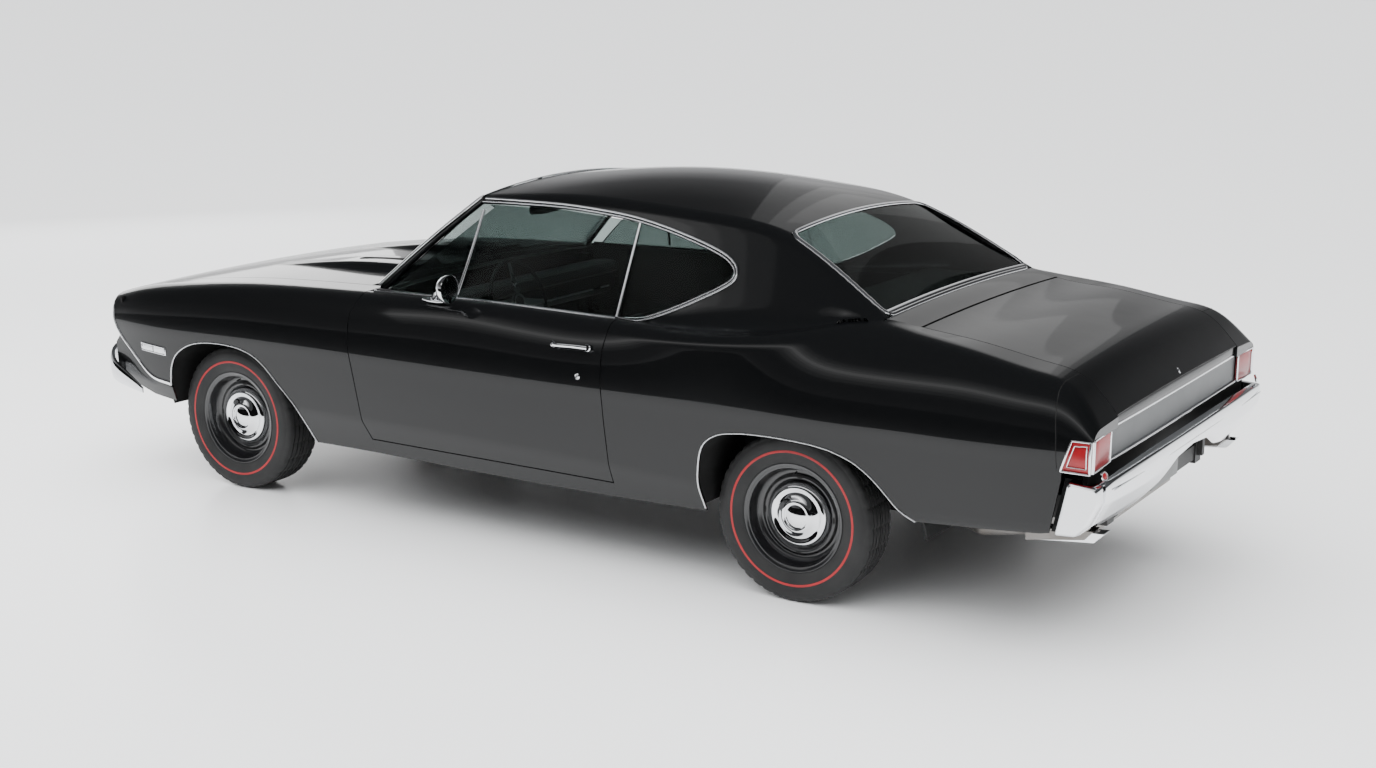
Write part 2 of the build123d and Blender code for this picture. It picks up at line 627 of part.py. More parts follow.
# Blank plate hanging behind the bumper's lower edge, on a stay from the rear crossmember
with BuildPart() as rear_plate:
    add(block((PLATE_X, -PLATE_HALF, PLATE_LOW_Z), (PLATE_X + 2, PLATE_HALF, PLATE_LOW_Z + PLATE_HEIGHT)))
    add(block((PLATE_X + 2, -60, PLATE_LOW_Z + 3), (TRUNK_END_X + 5 - SEAT_GAP, 60, PLATE_LOW_Z + 33)))
rear_plate.part.label = "rear_plate"

with BuildPart() as tail_lamps:
    add(side_full & block((BUMPER_BACK_X, 700, 692.3), (LAMP_FRONT_X, 1000, 799.7)))
    add(block((LAMP_BACK_X - PANEL_RAISE - SEAT_GAP, 700, 690), (LAMP_FRONT_X + 8, 889.3, 800)), mode=Mode.SUBTRACT)
    add(mirrored(tail_lamps.part))
tail_lamps.part.label = "tail_lamps"

# Cabin
DASH_SIDE = [(847.7, 880), (760, 917), (600, 930), (570, 880), (590, 780), (650, 740), (847.7, 740)]
with BuildPart() as dashboard:
    with BuildSketch(Plane.XZ.offset(690)):
        with BuildLine():
            Polyline(*DASH_SIDE, close=True)
        make_face()
    extrude(amount=-1380)
    add(tube((700, DRIVER_Y, 800), COLUMN_END, 22))
dashboard.part.label = "dashboard"

with BuildPart() as steering_wheel:
    wheel_plane = Plane(origin=COLUMN_END, x_dir=(0, 1, 0), z_dir=(-320, 0, 100))
    with BuildSketch(wheel_plane.offset(SEAT_GAP)):
        Circle(190)
        Circle(172, mode=Mode.SUBTRACT)
        Rectangle(350, 26)
        with Locations((0, -88)):
            Rectangle(26, 176)
        Circle(40)
    extrude(amount=14)
steering_wheel.part.label = "steering_wheel"

SEAT_SIDE = [(330, 342.3), (330, 520), (-120, 500), (-300, 960), (-400, 960), (-260, 380), (-200, 342.3)]
with BuildPart() as front_seats:
    for y in (SEAT_Y, -SEAT_Y):
        with BuildSketch(Plane.XZ.offset(-y + SEAT_HALF)):
            with BuildLine():
                Polyline(*SEAT_SIDE, close=True)
            make_face()
        extrude(amount=-2 * SEAT_HALF)
front_seats.part.label = "front_seats"

REAR_SEAT_SIDE = aft([
    (-527.7, 572.3), (-980, 572.3), (-1120, 1010), (-1030, 1010), (-880, 700), (-470, 690), (-440, 640), (-440, 500),
    (-527.7, 500),
])
with BuildPart() as rear_seat:
    with BuildSketch(Plane.XZ.offset(REAR_SEAT_HALF)):
        with BuildLine():
            Polyline(*REAR_SEAT_SIDE, close=True)
        make_face()
    extrude(amount=-2 * REAR_SEAT_HALF)
rear_seat.part.label = "rear_seat"

# Running gear
with BuildPart() as engine_block:
    add(block((ENGINE_BACK_X, -300, 330), (ENGINE_BACK_X + 800, 300, 760)))
engine_block.part.label = "engine_block"

with BuildPart() as rear_axle:
    add(tube((REAR_AXLE_X, -690, AXLE_Z), (REAR_AXLE_X, 690, AXLE_Z), 40))
    add(tube((REAR_AXLE_X, SEAT_GAP - HUB_Y, AXLE_Z), (REAR_AXLE_X, HUB_Y - SEAT_GAP, AXLE_Z), 22))
    for side in (-1, 1):
        add(tube((REAR_AXLE_X, side * 480, AXLE_Z), (REAR_AXLE_X, side * 480, SPRING_TOP_Z), 50))
    with Locations((REAR_AXLE_X, 0, AXLE_Z)):
        Sphere(125)
    add(tube((REAR_AXLE_X + 100, 0, AXLE_Z), (ENGINE_BACK_X - 10, 0, 400), 38))
rear_axle.part.label = "rear_axle"

with BuildPart() as front_suspension:
    add(block((1540, -335, 209), (1680, 335, 329.7)))
    for y in (-230, 230):
        add(block((FRONT_AXLE_X - ARM_REACH + 8 + SEAT_GAP, y - 25, AXLE_Z - 60), (1540, y + 25, AXLE_Z - 24)))
    for side in (-1, 1):
        tower = block((1540, 305, 209), (1680, 335, 429))
        arms = [block((1580, start, z - 10), (1640, 700, z + 10)) for start, z in ((335, AXLE_Z - 105), (405.3, AXLE_Z + 105))]
        for item in (tower, *arms):
            add(item if side > 0 else mirrored(item))
front_suspension.part.label = "front_suspension"

with BuildPart() as knuckle_left:
    add(tube((FRONT_AXLE_X, KINGPIN_Y, AXLE_Z - 94.7), (FRONT_AXLE_X, KINGPIN_Y, AXLE_Z + 94.7), 14))
    add(tube((FRONT_AXLE_X, KINGPIN_Y, AXLE_Z), (FRONT_AXLE_X, HUB_Y - SEAT_GAP, AXLE_Z), 16))
    add(block((FRONT_AXLE_X - ARM_REACH - 10, KINGPIN_Y - 8, AXLE_Z - 52), (FRONT_AXLE_X, KINGPIN_Y + 8, AXLE_Z - 32)))
knuckle_left.part.label = "knuckle_left"

with BuildPart() as knuckle_right:
    add(mirrored(knuckle_left.part))
knuckle_right.part.label = "knuckle_right"

with BuildPart() as steering_linkage:
    reach = KINGPIN_Y - 8 - LINK_CLEAR
    add(tube((FRONT_AXLE_X - ARM_REACH, -reach, AXLE_Z - 42), (FRONT_AXLE_X - ARM_REACH, reach, AXLE_Z - 42), 8))
steering_linkage.part.label = "steering_linkage"

# columns: x, y, z of each exhaust pipe's bends
EXHAUST_ROUTE = aft([
    (1100, 230, 329.7), (1100, 230, 205), (-860, 230, 205), (-1080, 380, 415), (-1400, 380, 415), (-1640, 430, 345),
    (-1900, 620, 345), (-2110, 700, 405), (-2180, 750, 410),
])
TIP_SIDE = aft([(-2130, 384), (-2342, 418), (-2372, 452), (-2130, 430)])
TIP_Y = 725.0
TIP_WIDTH = 66.0
with BuildPart() as exhaust:
    with BuildLine() as pipe_path:
        FilletPolyline(*EXHAUST_ROUTE, radius=60)
    with BuildSketch(Plane(origin=EXHAUST_ROUTE[0], z_dir=(0, 0, -1))):
        Circle(PIPE_RADIUS)
    sweep(path=pipe_path.line)
    add(tube((-20, 230, 205), (-480, 230, 205), 75))
    add(side_prism(TIP_SIDE, TIP_Y, TIP_Y + TIP_WIDTH))
    add(mirrored(exhaust.part))
exhaust.part.label = "exhaust"

with BuildPart() as fuel_tank:
    add(block((TANK_X - 200, -420, 330), (TANK_X + 200, 420, 489.7)))
fuel_tank.part.label = "fuel_tank"

# Wheels and tyres
# columns of a profile: distance from the wheel's middle plane, radius
RIM_PROFILE = [
    (-89, 208), (-83, 208), (-83, 190), (-58, 190), (-50, 172), (20, 172), (32, 190), (83, 190), (83, 208), (89, 208),
    (89, 202), (87, 184), (36, 184), (24, 166), (-54, 166), (-62, 184), (-87, 184), (-89, 202),
]
DISC_PROFILE = [
    (0, 168), (10, 168), (22, 150), (30, 120), (57, 118), (62, 60), (72, 0), (30, 0), (30, 40), (-20, 40), (-20, 125),
    (12, 125), (12, 130),
]
TYRE_HALF = [(72, 324), (92, 306), (102.5, 262), (95, 226), (82, 210), (82, 190.3)]


def wheel_at(x, side):
    """Pressed steel wheel with its disc, brake drum and domed cap."""
    centre = Plane(origin=(x, side * WHEEL_PLANE_Y, AXLE_Z), x_dir=(0, side, 0), z_dir=(1, 0, 0))
    with BuildPart(mode=Mode.PRIVATE) as wheel:
        with BuildSketch(centre):
            with BuildLine():
                Polyline(*RIM_PROFILE, close=True)
            make_face()
            with BuildLine():
                Polyline(*DISC_PROFILE, close=True)
            make_face()
        revolve(axis=Axis((x, side * WHEEL_PLANE_Y, AXLE_Z), (0, 1, 0)))
    return wheel.part


def tyre_at(x, side):
    """Tyre seated on the rim's bead seats."""
    centre = Plane(origin=(x, side * WHEEL_PLANE_Y, AXLE_Z), x_dir=(0, side, 0), z_dir=(1, 0, 0))
    with BuildPart(mode=Mode.PRIVATE) as tyre:
        with BuildSketch(centre):
            with BuildLine():
                Polyline(*TYRE_HALF, *[(-across, radius) for across, radius in TYRE_HALF[::-1]], close=True)
            make_face()
        revolve(axis=Axis((x, side * WHEEL_PLANE_Y, AXLE_Z), (0, 1, 0)))
    return tyre.part


wheels = []
for name, x, side in [("fl", FRONT_AXLE_X, 1), ("fr", FRONT_AXLE_X, -1), ("rl", REAR_AXLE_X, 1), ("rr", REAR_AXLE_X, -1)]:
    with BuildPart() as wheel:
        add(wheel_at(x, side))
    wheel.part.label = "wheel_" + name
    with BuildPart() as tyre:
        add(tyre_at(x, side))
    tyre.part.label = "tyre_" + name
    wheels += [wheel, tyre]

# Door handles on both doors, and a mirror on the left door only
HANDLE_REAR_X = -391.0
HANDLE_FRONT_X = -191.0
HANDLE_Z = 884.0
HANDLE_Y = 934.0
MIRROR_X = 365.0
MIRROR_Y = 928.0
MIRROR_Z = 1050.0
MIRROR_RADIUS = 52.0
MIRROR_DEPTH = 15.0
with BuildPart() as handle_left:
    add(block((HANDLE_REAR_X, HANDLE_Y - 14, HANDLE_Z - 6), (HANDLE_FRONT_X, HANDLE_Y, HANDLE_Z + 6)))
    for x in (HANDLE_REAR_X + 16, HANDLE_FRONT_X - 24):
        add(block((x - 12, HANDLE_Y - 64, HANDLE_Z - 8), (x + 12, HANDLE_Y - 13, HANDLE_Z + 8)))

with BuildPart() as door_trim_left:
    add(handle_left.part)
    add(block((400, 860, 960), (440, 880, 1010)))
    add(tube((430, 872, 1000), (MIRROR_X + MIRROR_DEPTH, MIRROR_Y, MIRROR_Z - 5), 8))
    add(tube((MIRROR_X - MIRROR_DEPTH, MIRROR_Y, MIRROR_Z), (MIRROR_X + MIRROR_DEPTH, MIRROR_Y, MIRROR_Z), MIRROR_RADIUS))
    add(door_left.part, mode=Mode.SUBTRACT)
door_trim_left.part.label = "door_trim_left"

with BuildPart() as door_trim_right:
    add(mirrored(handle_left.part))
    add(door_right.part, mode=Mode.SUBTRACT)
door_trim_right.part.label = "door_trim_right"

PIECES = [
    frame, floor_pan, fender_left, fender_right, quarter_left, quarter_right, rockers, roof, cowl, deck_filler,
    tail_panel, hood, trunk_lid, door_left, door_right, windshield, backlight, door_glass_left, door_glass_right,
    quarter_windows, grille, headlamps, front_bumper, front_valence, rear_bumper, rear_plate, tail_lamps, dashboard,
    steering_wheel, front_seats, rear_seat, engine_block, rear_axle, front_suspension, knuckle_left,
    knuckle_right, steering_linkage, exhaust, fuel_tank, door_trim_left, door_trim_right, *wheels,
]
for piece in PIECES:
    export_step(piece.part, "parts/" + piece.part.label + ".step")
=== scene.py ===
import math
import bmesh
import bpy
import numpy as np
from mathutils import Matrix, Vector
from mathutils.geometry import delaunay_2d_cdt


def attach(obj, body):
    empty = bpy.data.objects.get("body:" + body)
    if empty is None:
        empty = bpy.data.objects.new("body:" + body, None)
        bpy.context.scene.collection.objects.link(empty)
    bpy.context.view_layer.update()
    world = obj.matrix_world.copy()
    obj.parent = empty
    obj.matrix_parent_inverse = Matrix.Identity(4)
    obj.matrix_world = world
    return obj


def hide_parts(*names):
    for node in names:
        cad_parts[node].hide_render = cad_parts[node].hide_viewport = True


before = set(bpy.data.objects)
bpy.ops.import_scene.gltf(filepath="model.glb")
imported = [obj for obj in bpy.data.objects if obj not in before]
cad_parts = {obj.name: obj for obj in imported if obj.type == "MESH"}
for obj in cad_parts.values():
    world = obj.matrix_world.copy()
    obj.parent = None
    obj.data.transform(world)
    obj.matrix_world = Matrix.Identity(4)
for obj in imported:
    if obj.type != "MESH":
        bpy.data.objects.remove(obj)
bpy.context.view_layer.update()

MM = 0.001

# The source's sections, millimetres
# columns: x, then y and z of the seam, shoulder, widest line, crease and sill, and the crown's z
BODY = [
    (2390, 704, 817, 778, 815, 868, 690, 862, 480, 835, 400, 828),
    (2250, 704, 856, 800, 852, 895, 695, 885, 465, 852, 375, 868),
    (2000, 704, 898, 830, 892, 925, 700, 915, 450, 880, 345, 915),
    (1610, 704, 942, 848, 935, 942, 715, 930, 437, 890, 305, 958),
    (900, 704, 975, 850, 968, 945, 725, 932, 440, 890, 300, 992),
    (250, 704, 995, 846, 988, 940, 725, 930, 440, 890, 297, 1010),
    (-430, 704, 993, 846, 985, 942, 730, 930, 432, 890, 300, 1010),
    (-1235, 680, 1040, 864, 1025, 955, 740, 935, 420, 900, 330, 1060),
    (-1521, 690, 1081, 735, 1068, 954, 742, 933, 428, 898, 350, 1100),
    (-1650, 652, 1058, 745, 1060, 953, 745, 930, 435, 895, 365, 1070),
    (-1900, 664, 1032, 798, 1026, 948, 745, 925, 450, 890, 400, 1042),
    (-2150, 678, 992, 823, 984, 942, 750, 925, 470, 892, 420, 1004),
    (-2300, 688, 945, 843, 938, 938, 755, 925, 485, 896, 432, 955),
    (-2405, 695, 838, 885, 830, 936, 760, 925, 500, 900, 440, 845),
]
# columns: x, rail y, rail z, foot y, foot z, crown z
HOUSE = [
    (360, 600, 1385, 811, 975, 1424), (-100, 610, 1415, 811, 975, 1465), (-700, 600, 1390, 811, 975, 1440),
    (-1050, 585, 1335, 811, 985, 1370), (-1521, 690, 1083, 811, 1000, 1100),
]


def spline_of(rows):
    """Natural cubic through rows of numbers; the first column is the place along the line."""
    table = np.array(sorted(rows), float)
    x, y = table[:, 0], table[:, 1:]
    n, h = len(x), np.diff(table[:, 0])
    a, r = np.eye(n), np.zeros_like(y)
    for i in range(1, n - 1):
        a[i, i - 1:i + 2] = h[i - 1], 2 * (h[i - 1] + h[i]), h[i]
        r[i] = 3 * ((y[i + 1] - y[i]) / h[i] - (y[i] - y[i - 1]) / h[i - 1])
    c = np.linalg.solve(a, r)

    def value(q):
        i = min(max(int(np.searchsorted(x, q)) - 1, 0), n - 2)
        t = q - x[i]
        b = (y[i + 1] - y[i]) / h[i] - h[i] * (2 * c[i] + c[i + 1]) / 3
        return y[i] + b * t + c[i] * t * t + (c[i + 1] - c[i]) / (3 * h[i]) * t ** 3
    return value


body_at, house_at = spline_of(BODY), spline_of(HOUSE)


def unit(v):
    """A vector of length one in the same direction."""
    v = np.array(v, float)
    return v / max(np.linalg.norm(v), 1e-9)


def hermite(a, ta, b, tb, n):
    """Points of a smooth corner from a to b, its directions given at both ends, the last point left out."""
    a, b = np.array(a, float), np.array(b, float)
    k = np.linalg.norm(b - a) * 1.1
    t = np.linspace(0, 1, n, endpoint=False)[:, None]
    return ((2 * t ** 3 - 3 * t ** 2 + 1) * a + (t ** 3 - 2 * t ** 2 + t) * k * unit(ta)
            + (3 * t ** 2 - 2 * t ** 3) * b + (t ** 3 - t ** 2) * k * unit(tb))


def straight(a, b, n):
    """Points of a straight line from a to b, the last one left out."""
    t = np.linspace(0, 1, n, endpoint=False)[:, None]
    return np.array(a, float) * (1 - t) + np.array(b, float) * t


def top_line(row, y):
    """Height of the flat between the seam and the shoulder."""
    return row[1] + (row[3] - row[1]) * (y - row[0]) / (row[2] - row[0])


def house_joint(row, house):
    """Where the roof's side meets the flat on top of the body."""
    ry, rz, fy, fz = house[:4]
    k = (row[3] - row[1]) / (row[2] - row[0])
    s = (fy - ry) / (fz - rz)
    z = (row[1] + k * (ry - s * rz - row[0])) / (1 - k * s)
    return np.array([ry + s * (z - rz), z])


SHOULDER = 42.0


def side_start(x):
    """Point on the top flat where the shoulder's rounding begins."""
    row = body_at(x)
    s = row[2:4]
    line = unit(s - row[0:2])
    return s - line * min(SHOULDER, 0.45 * np.linalg.norm(s - row[0:2])), line


def side_column(x, start_y=None):
    """The body side's outline at a station, from its top edge to the sill."""
    row = body_at(x)
    begin, line = side_start(x)
    top = np.array([row[0], row[1]]) if start_y is None else np.array([start_y, top_line(row, start_y)])
    s, w, c, l = row[2:4], row[4:6], row[6:8], row[8:10]
    depth, rise = w[0] - s[0], s[1] - w[1]
    radius = (depth ** 2 + rise ** 2) / (2 * depth)
    full = math.asin(min(rise / radius, 1))
    turn = min(SHOULDER * 1.3 / radius, full * 0.5)
    centre = np.array([w[0] - radius, w[1]])
    angles = np.linspace(full - turn, 0, 26, endpoint=False)
    arc = centre + radius * np.column_stack([np.cos(angles), np.sin(angles)])
    heading = np.array([math.sin(full - turn), -math.cos(full - turn)])
    down, tuck = unit(c - w), unit(l - c)
    parts = [
        straight(top, begin, 6), hermite(begin, line, arc[0], heading, 10), arc,
        hermite(w, (0, -1), w + down * 60, down, 6), straight(w + down * 60, c - down * 22, 10),
        hermite(c - down * 22, down, c + tuck * 22, tuck, 8), straight(c + tuck * 22, l, 6), l[None, :],
    ]
    return np.vstack(parts)


def roof_column(x):
    """Outline from the roof's middle over the rail and down the rear pillar to the start of the shoulder."""
    row, house = body_at(x), house_at(x)
    rail, crown = np.array(house[0:2]), house[4]
    rise = crown - rail[1]
    radius = (rail[0] ** 2 + rise ** 2) / (2 * rise)
    joint = house_joint(row, house)
    down = unit(joint - rail)
    length = np.linalg.norm(joint - rail)
    edge = min(38.0, 0.3 * length)
    end_angle = math.asin(rail[0] / radius)
    stop = end_angle - edge / radius
    angles = np.linspace(0, stop, 22, endpoint=False)
    arc = np.column_stack([radius * np.sin(angles), crown - radius + radius * np.cos(angles)])
    a = np.array([radius * math.sin(stop), crown - radius + radius * math.cos(stop)])
    heading = np.array([math.cos(stop), -math.sin(stop)])
    begin, line = side_start(x)
    hollow = min(95.0, 0.45 * length)
    reach = np.linalg.norm(begin - joint)
    b = joint + unit(begin - joint) * min(75.0, 0.8 * reach)
    parts = [
        arc, hermite(a, heading, rail + down * edge, down, 10),
        straight(rail + down * edge, joint - down * hollow, 14),
        hermite(joint - down * hollow, down, b, line, 12), straight(b, begin, 3), begin[None, :],
    ]
    return np.vstack(parts)


def top_column(x):
    """The arched top at a station, from the middle to the seam."""
    row = body_at(x)
    rise = max(row[10] - row[1], 4.0)
    radius = (row[0] ** 2 + rise ** 2) / (2 * rise)
    angles = np.linspace(0, math.asin(min(row[0] / radius, 1)), 40)
    return np.column_stack([radius * np.sin(angles), row[10] - radius + radius * np.cos(angles)])


class Surface:
    """A smooth skin looked up by place along the car and place down its column."""

    def __init__(self, column, x0, x1, step=8.0):
        self.xs = np.arange(x0, x1 + step * 0.5, step)
        columns = [column(x) for x in self.xs]
        self.p = np.array([np.column_stack([np.full(len(c), x), c]) for x, c in zip(self.xs, columns)])
        self.step, self.x0, self.ns = step, x0, self.p.shape[1]
        du, dv = np.gradient(self.p, axis=0), np.gradient(self.p, axis=1)
        n = np.cross(du, dv)
        self.n = n / np.maximum(np.linalg.norm(n, axis=2, keepdims=True), 1e-9)
        mean = np.linalg.norm(np.diff(self.p, axis=1), axis=2).mean(axis=0)
        self.girth = np.concatenate([[0], np.cumsum(mean)])

    def look(self, table, x, g):
        """A table's values between its grid points, by station and place down the column."""
        u = np.clip((np.array(x, float) - self.x0) / self.step, 0, len(self.xs) - 1.001)
        v = np.interp(g, self.girth, np.arange(self.ns))
        v = np.clip(v, 0, self.ns - 1.001)
        i, j = u.astype(int), v.astype(int)
        a, b = (u - i)[:, None], (v - j)[:, None]
        return (table[i, j] * (1 - a) * (1 - b) + table[i + 1, j] * a * (1 - b)
                + table[i, j + 1] * (1 - a) * b + table[i + 1, j + 1] * a * b)

    def at(self, x, g):
        """Points and normals by station and place down the column."""
        n = self.look(self.n, x, g)
        return self.look(self.p, x, g), n / np.maximum(np.linalg.norm(n, axis=1, keepdims=True), 1e-9)

    def down(self, x, z):
        """Place down the column at a height."""
        i = int(np.clip(round((x - self.x0) / self.step), 0, len(self.xs) - 1))
        heights = self.p[i, :, 2]
        return float(np.interp(-z, -np.minimum.accumulate(heights), self.girth))

    def across(self, x, y):
        """Place down the column at a distance from the middle."""
        i = int(np.clip(round((x - self.x0) / self.step), 0, len(self.xs) - 1))
        return float(np.interp(y, np.maximum.accumulate(self.p[i, :, 1]), self.girth))


def rounded(points, radius, n=5, closed=True):
    """An outline with its corners rounded."""
    pts = [np.array(p, float) for p in points]
    out = []
    count = len(pts)
    for i, p in enumerate(pts):
        if not closed and i in (0, count - 1):
            out.append(p)
            continue
        a, b = pts[i - 1] - p, pts[(i + 1) % count] - p
        cut = min(radius, 0.45 * np.linalg.norm(a), 0.45 * np.linalg.norm(b))
        start, end = p + unit(a) * cut, p + unit(b) * cut
        for t in np.linspace(0, 1, n):
            out.append((1 - t) ** 2 * start + 2 * t * (1 - t) * p + t * t * end)
    return [tuple(p) for p in out]


def curved(points, n=6):
    """A smooth open line through points."""
    pts = [np.array(p, float) for p in points]
    pts = [2 * pts[0] - pts[1]] + pts + [2 * pts[-1] - pts[-2]]
    out = []
    for a, b, c, d in zip(pts, pts[1:], pts[2:], pts[3:]):
        for t in np.linspace(0, 1, n, endpoint=False):
            out.append(tuple(0.5 * (2 * b + (c - a) * t + (2 * a - 5 * b + 4 * c - d) * t ** 2
                                    + (3 * b - a - 3 * c + d) * t ** 3)))
    out.append(tuple(pts[-2]))
    return out


def grown(points, amount):
    """A closed outline moved outwards."""
    pts = np.array(points, float)
    area = np.sum(pts[:, 0] * np.roll(pts[:, 1], -1) - np.roll(pts[:, 0], -1) * pts[:, 1])
    turn = 1 if area > 0 else -1
    out = []
    for i in range(len(pts)):
        a, b = unit(pts[i] - pts[i - 1]), unit(pts[(i + 1) % len(pts)] - pts[i])
        na, nb = np.array([a[1], -a[0]]) * turn, np.array([b[1], -b[0]]) * turn
        bisector = na + nb
        out.append(tuple(pts[i] + bisector * amount / max(0.3, 0.5 * float(bisector @ bisector))))
    return out


def dense(points, step, closed=True):
    """An outline with extra points so that no step is long."""
    out = []
    count = len(points)
    for i in range(count if closed else count - 1):
        a, b = np.array(points[i], float), np.array(points[(i + 1) % count], float)
        n = max(1, int(math.ceil(np.linalg.norm(b - a) / step)))
        out += [tuple(a + (b - a) * k / n) for k in range(n)]
    if not closed:
        out.append(tuple(points[-1]))
    return out


def inside(polygon, pts):
    """Which points lie inside a polygon."""
    x, y = pts[:, 0], pts[:, 1]
    hit = np.zeros(len(pts), bool)
    for (x0, y0), (x1, y1) in zip(polygon, polygon[1:] + polygon[:1]):
        cross = ((y0 > y) != (y1 > y))
        with np.errstate(divide="ignore", invalid="ignore"):
            hit ^= cross & (x < (x1 - x0) * (y - y0) / (y1 - y0) + x0)
    return hit


def near(polygon, pts, reach):
    """Which points lie closer to a polygon's edge than a distance."""
    poly = np.array(polygon)
    a, b = poly, np.roll(poly, -1, axis=0)
    best = np.full(len(pts), 1e9)
    for p, q in zip(a, b):
        d = q - p
        t = np.clip(((pts - p) @ d) / max(d @ d, 1e-9), 0, 1)
        best = np.minimum(best, np.linalg.norm(pts - (p + t[:, None] * d), axis=1))
    return best < reach


def slim_mesh(name, verts, faces, normals=None):
    """A smooth mesh of points in metres, with its own normals where they are given."""
    data = bpy.data.meshes.new(name)
    data.from_pydata([tuple(v) for v in verts], [], [tuple(int(i) for i in f) for f in faces])
    data.update()
    for poly in data.polygons:
        poly.use_smooth = True
    if normals is not None:
        data.normals_split_custom_set_from_vertices([tuple(n) for n in normals])
    return data


def place(name, data, material, body, stands=()):
    """An object on its body and the solids that it stands for."""
    obj = bpy.data.objects.new(name, data)
    bpy.context.scene.collection.objects.link(obj)
    if material is not None:
        obj.data.materials.append(material)
    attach(obj, body)
    if stands:
        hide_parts(*stands)
    return obj


def panel(surface, outline, holes=(), thick=9.0, step=16.0, lip=1.3):
    """Vertices, faces and normals of a body panel cut from a surface, with rolled edges and a back."""
    rings = [dense(outline, 11.0)] + [dense(h, 11.0) for h in holes]
    g_all = np.array([p for ring in rings for p in ring])
    lo, hi = g_all.min(0), g_all.max(0)
    gx = np.arange(math.ceil(lo[0] / step) * step, hi[0], step)
    gs = surface.girth[(surface.girth > lo[1]) & (surface.girth < hi[1])]
    keep = []
    for g in gs:
        if not keep or g - keep[-1] > 6.0:
            keep.append(g)
    grid = np.array([(x, g) for x in gx for g in keep]) if len(gx) and len(keep) else np.zeros((0, 2))
    if len(grid):
        mask = inside(rings[0], grid)
        for ring in rings:
            mask &= ~near(ring, grid, 4.5)
        for ring in rings[1:]:
            mask &= ~inside(ring, grid)
        grid = grid[mask]
    pts = [Vector(p) for ring in rings for p in ring] + [Vector(p) for p in grid]
    edges, first = [], 0
    for ring in rings:
        edges += [(first + i, first + (i + 1) % len(ring)) for i in range(len(ring))]
        first += len(ring)
    flat, _, tris, *_ = delaunay_2d_cdt(pts, edges, [], 0, 1e-6)
    flat = np.array([tuple(v) for v in flat])
    tris = np.array([t for t in tris if len(t) == 3], int)
    mid = flat[tris].mean(axis=1)
    ok = inside(rings[0], mid)
    for ring in rings[1:]:
        ok &= ~inside(ring, mid)
    tris = tris[ok]
    p, n = surface.at(flat[:, 0], flat[:, 1])
    # faces look along the surface's outward normal
    a, b, c = p[tris[:, 0]], p[tris[:, 1]], p[tris[:, 2]]
    flip = np.einsum("ij,ij->i", np.cross(b - a, c - a), n[tris[:, 0]]) < 0
    tris[flip] = tris[flip][:, ::-1]
    edge_of = {}
    for t in tris:
        for i in range(3):
            e = (int(t[i]), int(t[(i + 1) % 3]))
            edge_of[e] = t
    border = [e for e in edge_of if (e[1], e[0]) not in edge_of]
    away = {}
    for e in border:
        t = [v for v in edge_of[e] if v not in e][0]
        d = unit(p[e[1]] - p[e[0]])
        out = np.cross(d, n[e[0]])
        if out @ (p[e[0]] - p[int(t)]) < 0:
            out = -out
        for v in e:
            away[v] = away.get(v, 0) + out
    verts, normals = list(p), list(n)
    ring_of = {}
    for v, out in away.items():
        out = unit(out)
        first = len(verts)
        verts += [p[v] + out * lip * 0.7 - n[v] * lip * 0.5, p[v] + out * lip - n[v] * lip * 1.6,
                  p[v] + out * lip - n[v] * thick, p[v] + out * lip - n[v] * thick]
        normals += [unit(n[v] + out), out, out, -n[v]]
        ring_of[v] = first
    faces = [tuple(t) for t in tris]
    for a, b in border:
        ra, rb = ring_of[a], ring_of[b]
        faces += [(b, a, ra, rb), (rb, ra, ra + 1, rb + 1), (rb + 1, ra + 1, ra + 2, rb + 2)]
    back = len(verts)
    verts += list(p - n * thick)
    normals += list(-n)
    for t in tris:
        faces.append(tuple(ring_of[int(v)] + 3 if int(v) in ring_of else back + int(v) for v in t[::-1]))
    return np.array(verts) * MM, faces, np.array(normals)


def put_panel(name, made, material, body, stands=(), mirror_name=None, mirror_body=None, mirror_stands=()):
    """A panel and, where a mirror name is given, its mirror image."""
    verts, faces, normals = made
    place(name, slim_mesh(name, verts, faces, normals), material, body, stands)
    if mirror_name:
        flip = np.array([1, -1, 1])
        data = slim_mesh(mirror_name, verts * flip, [f[::-1] for f in faces], normals * flip)
        place(mirror_name, data, material, mirror_body or body, mirror_stands)


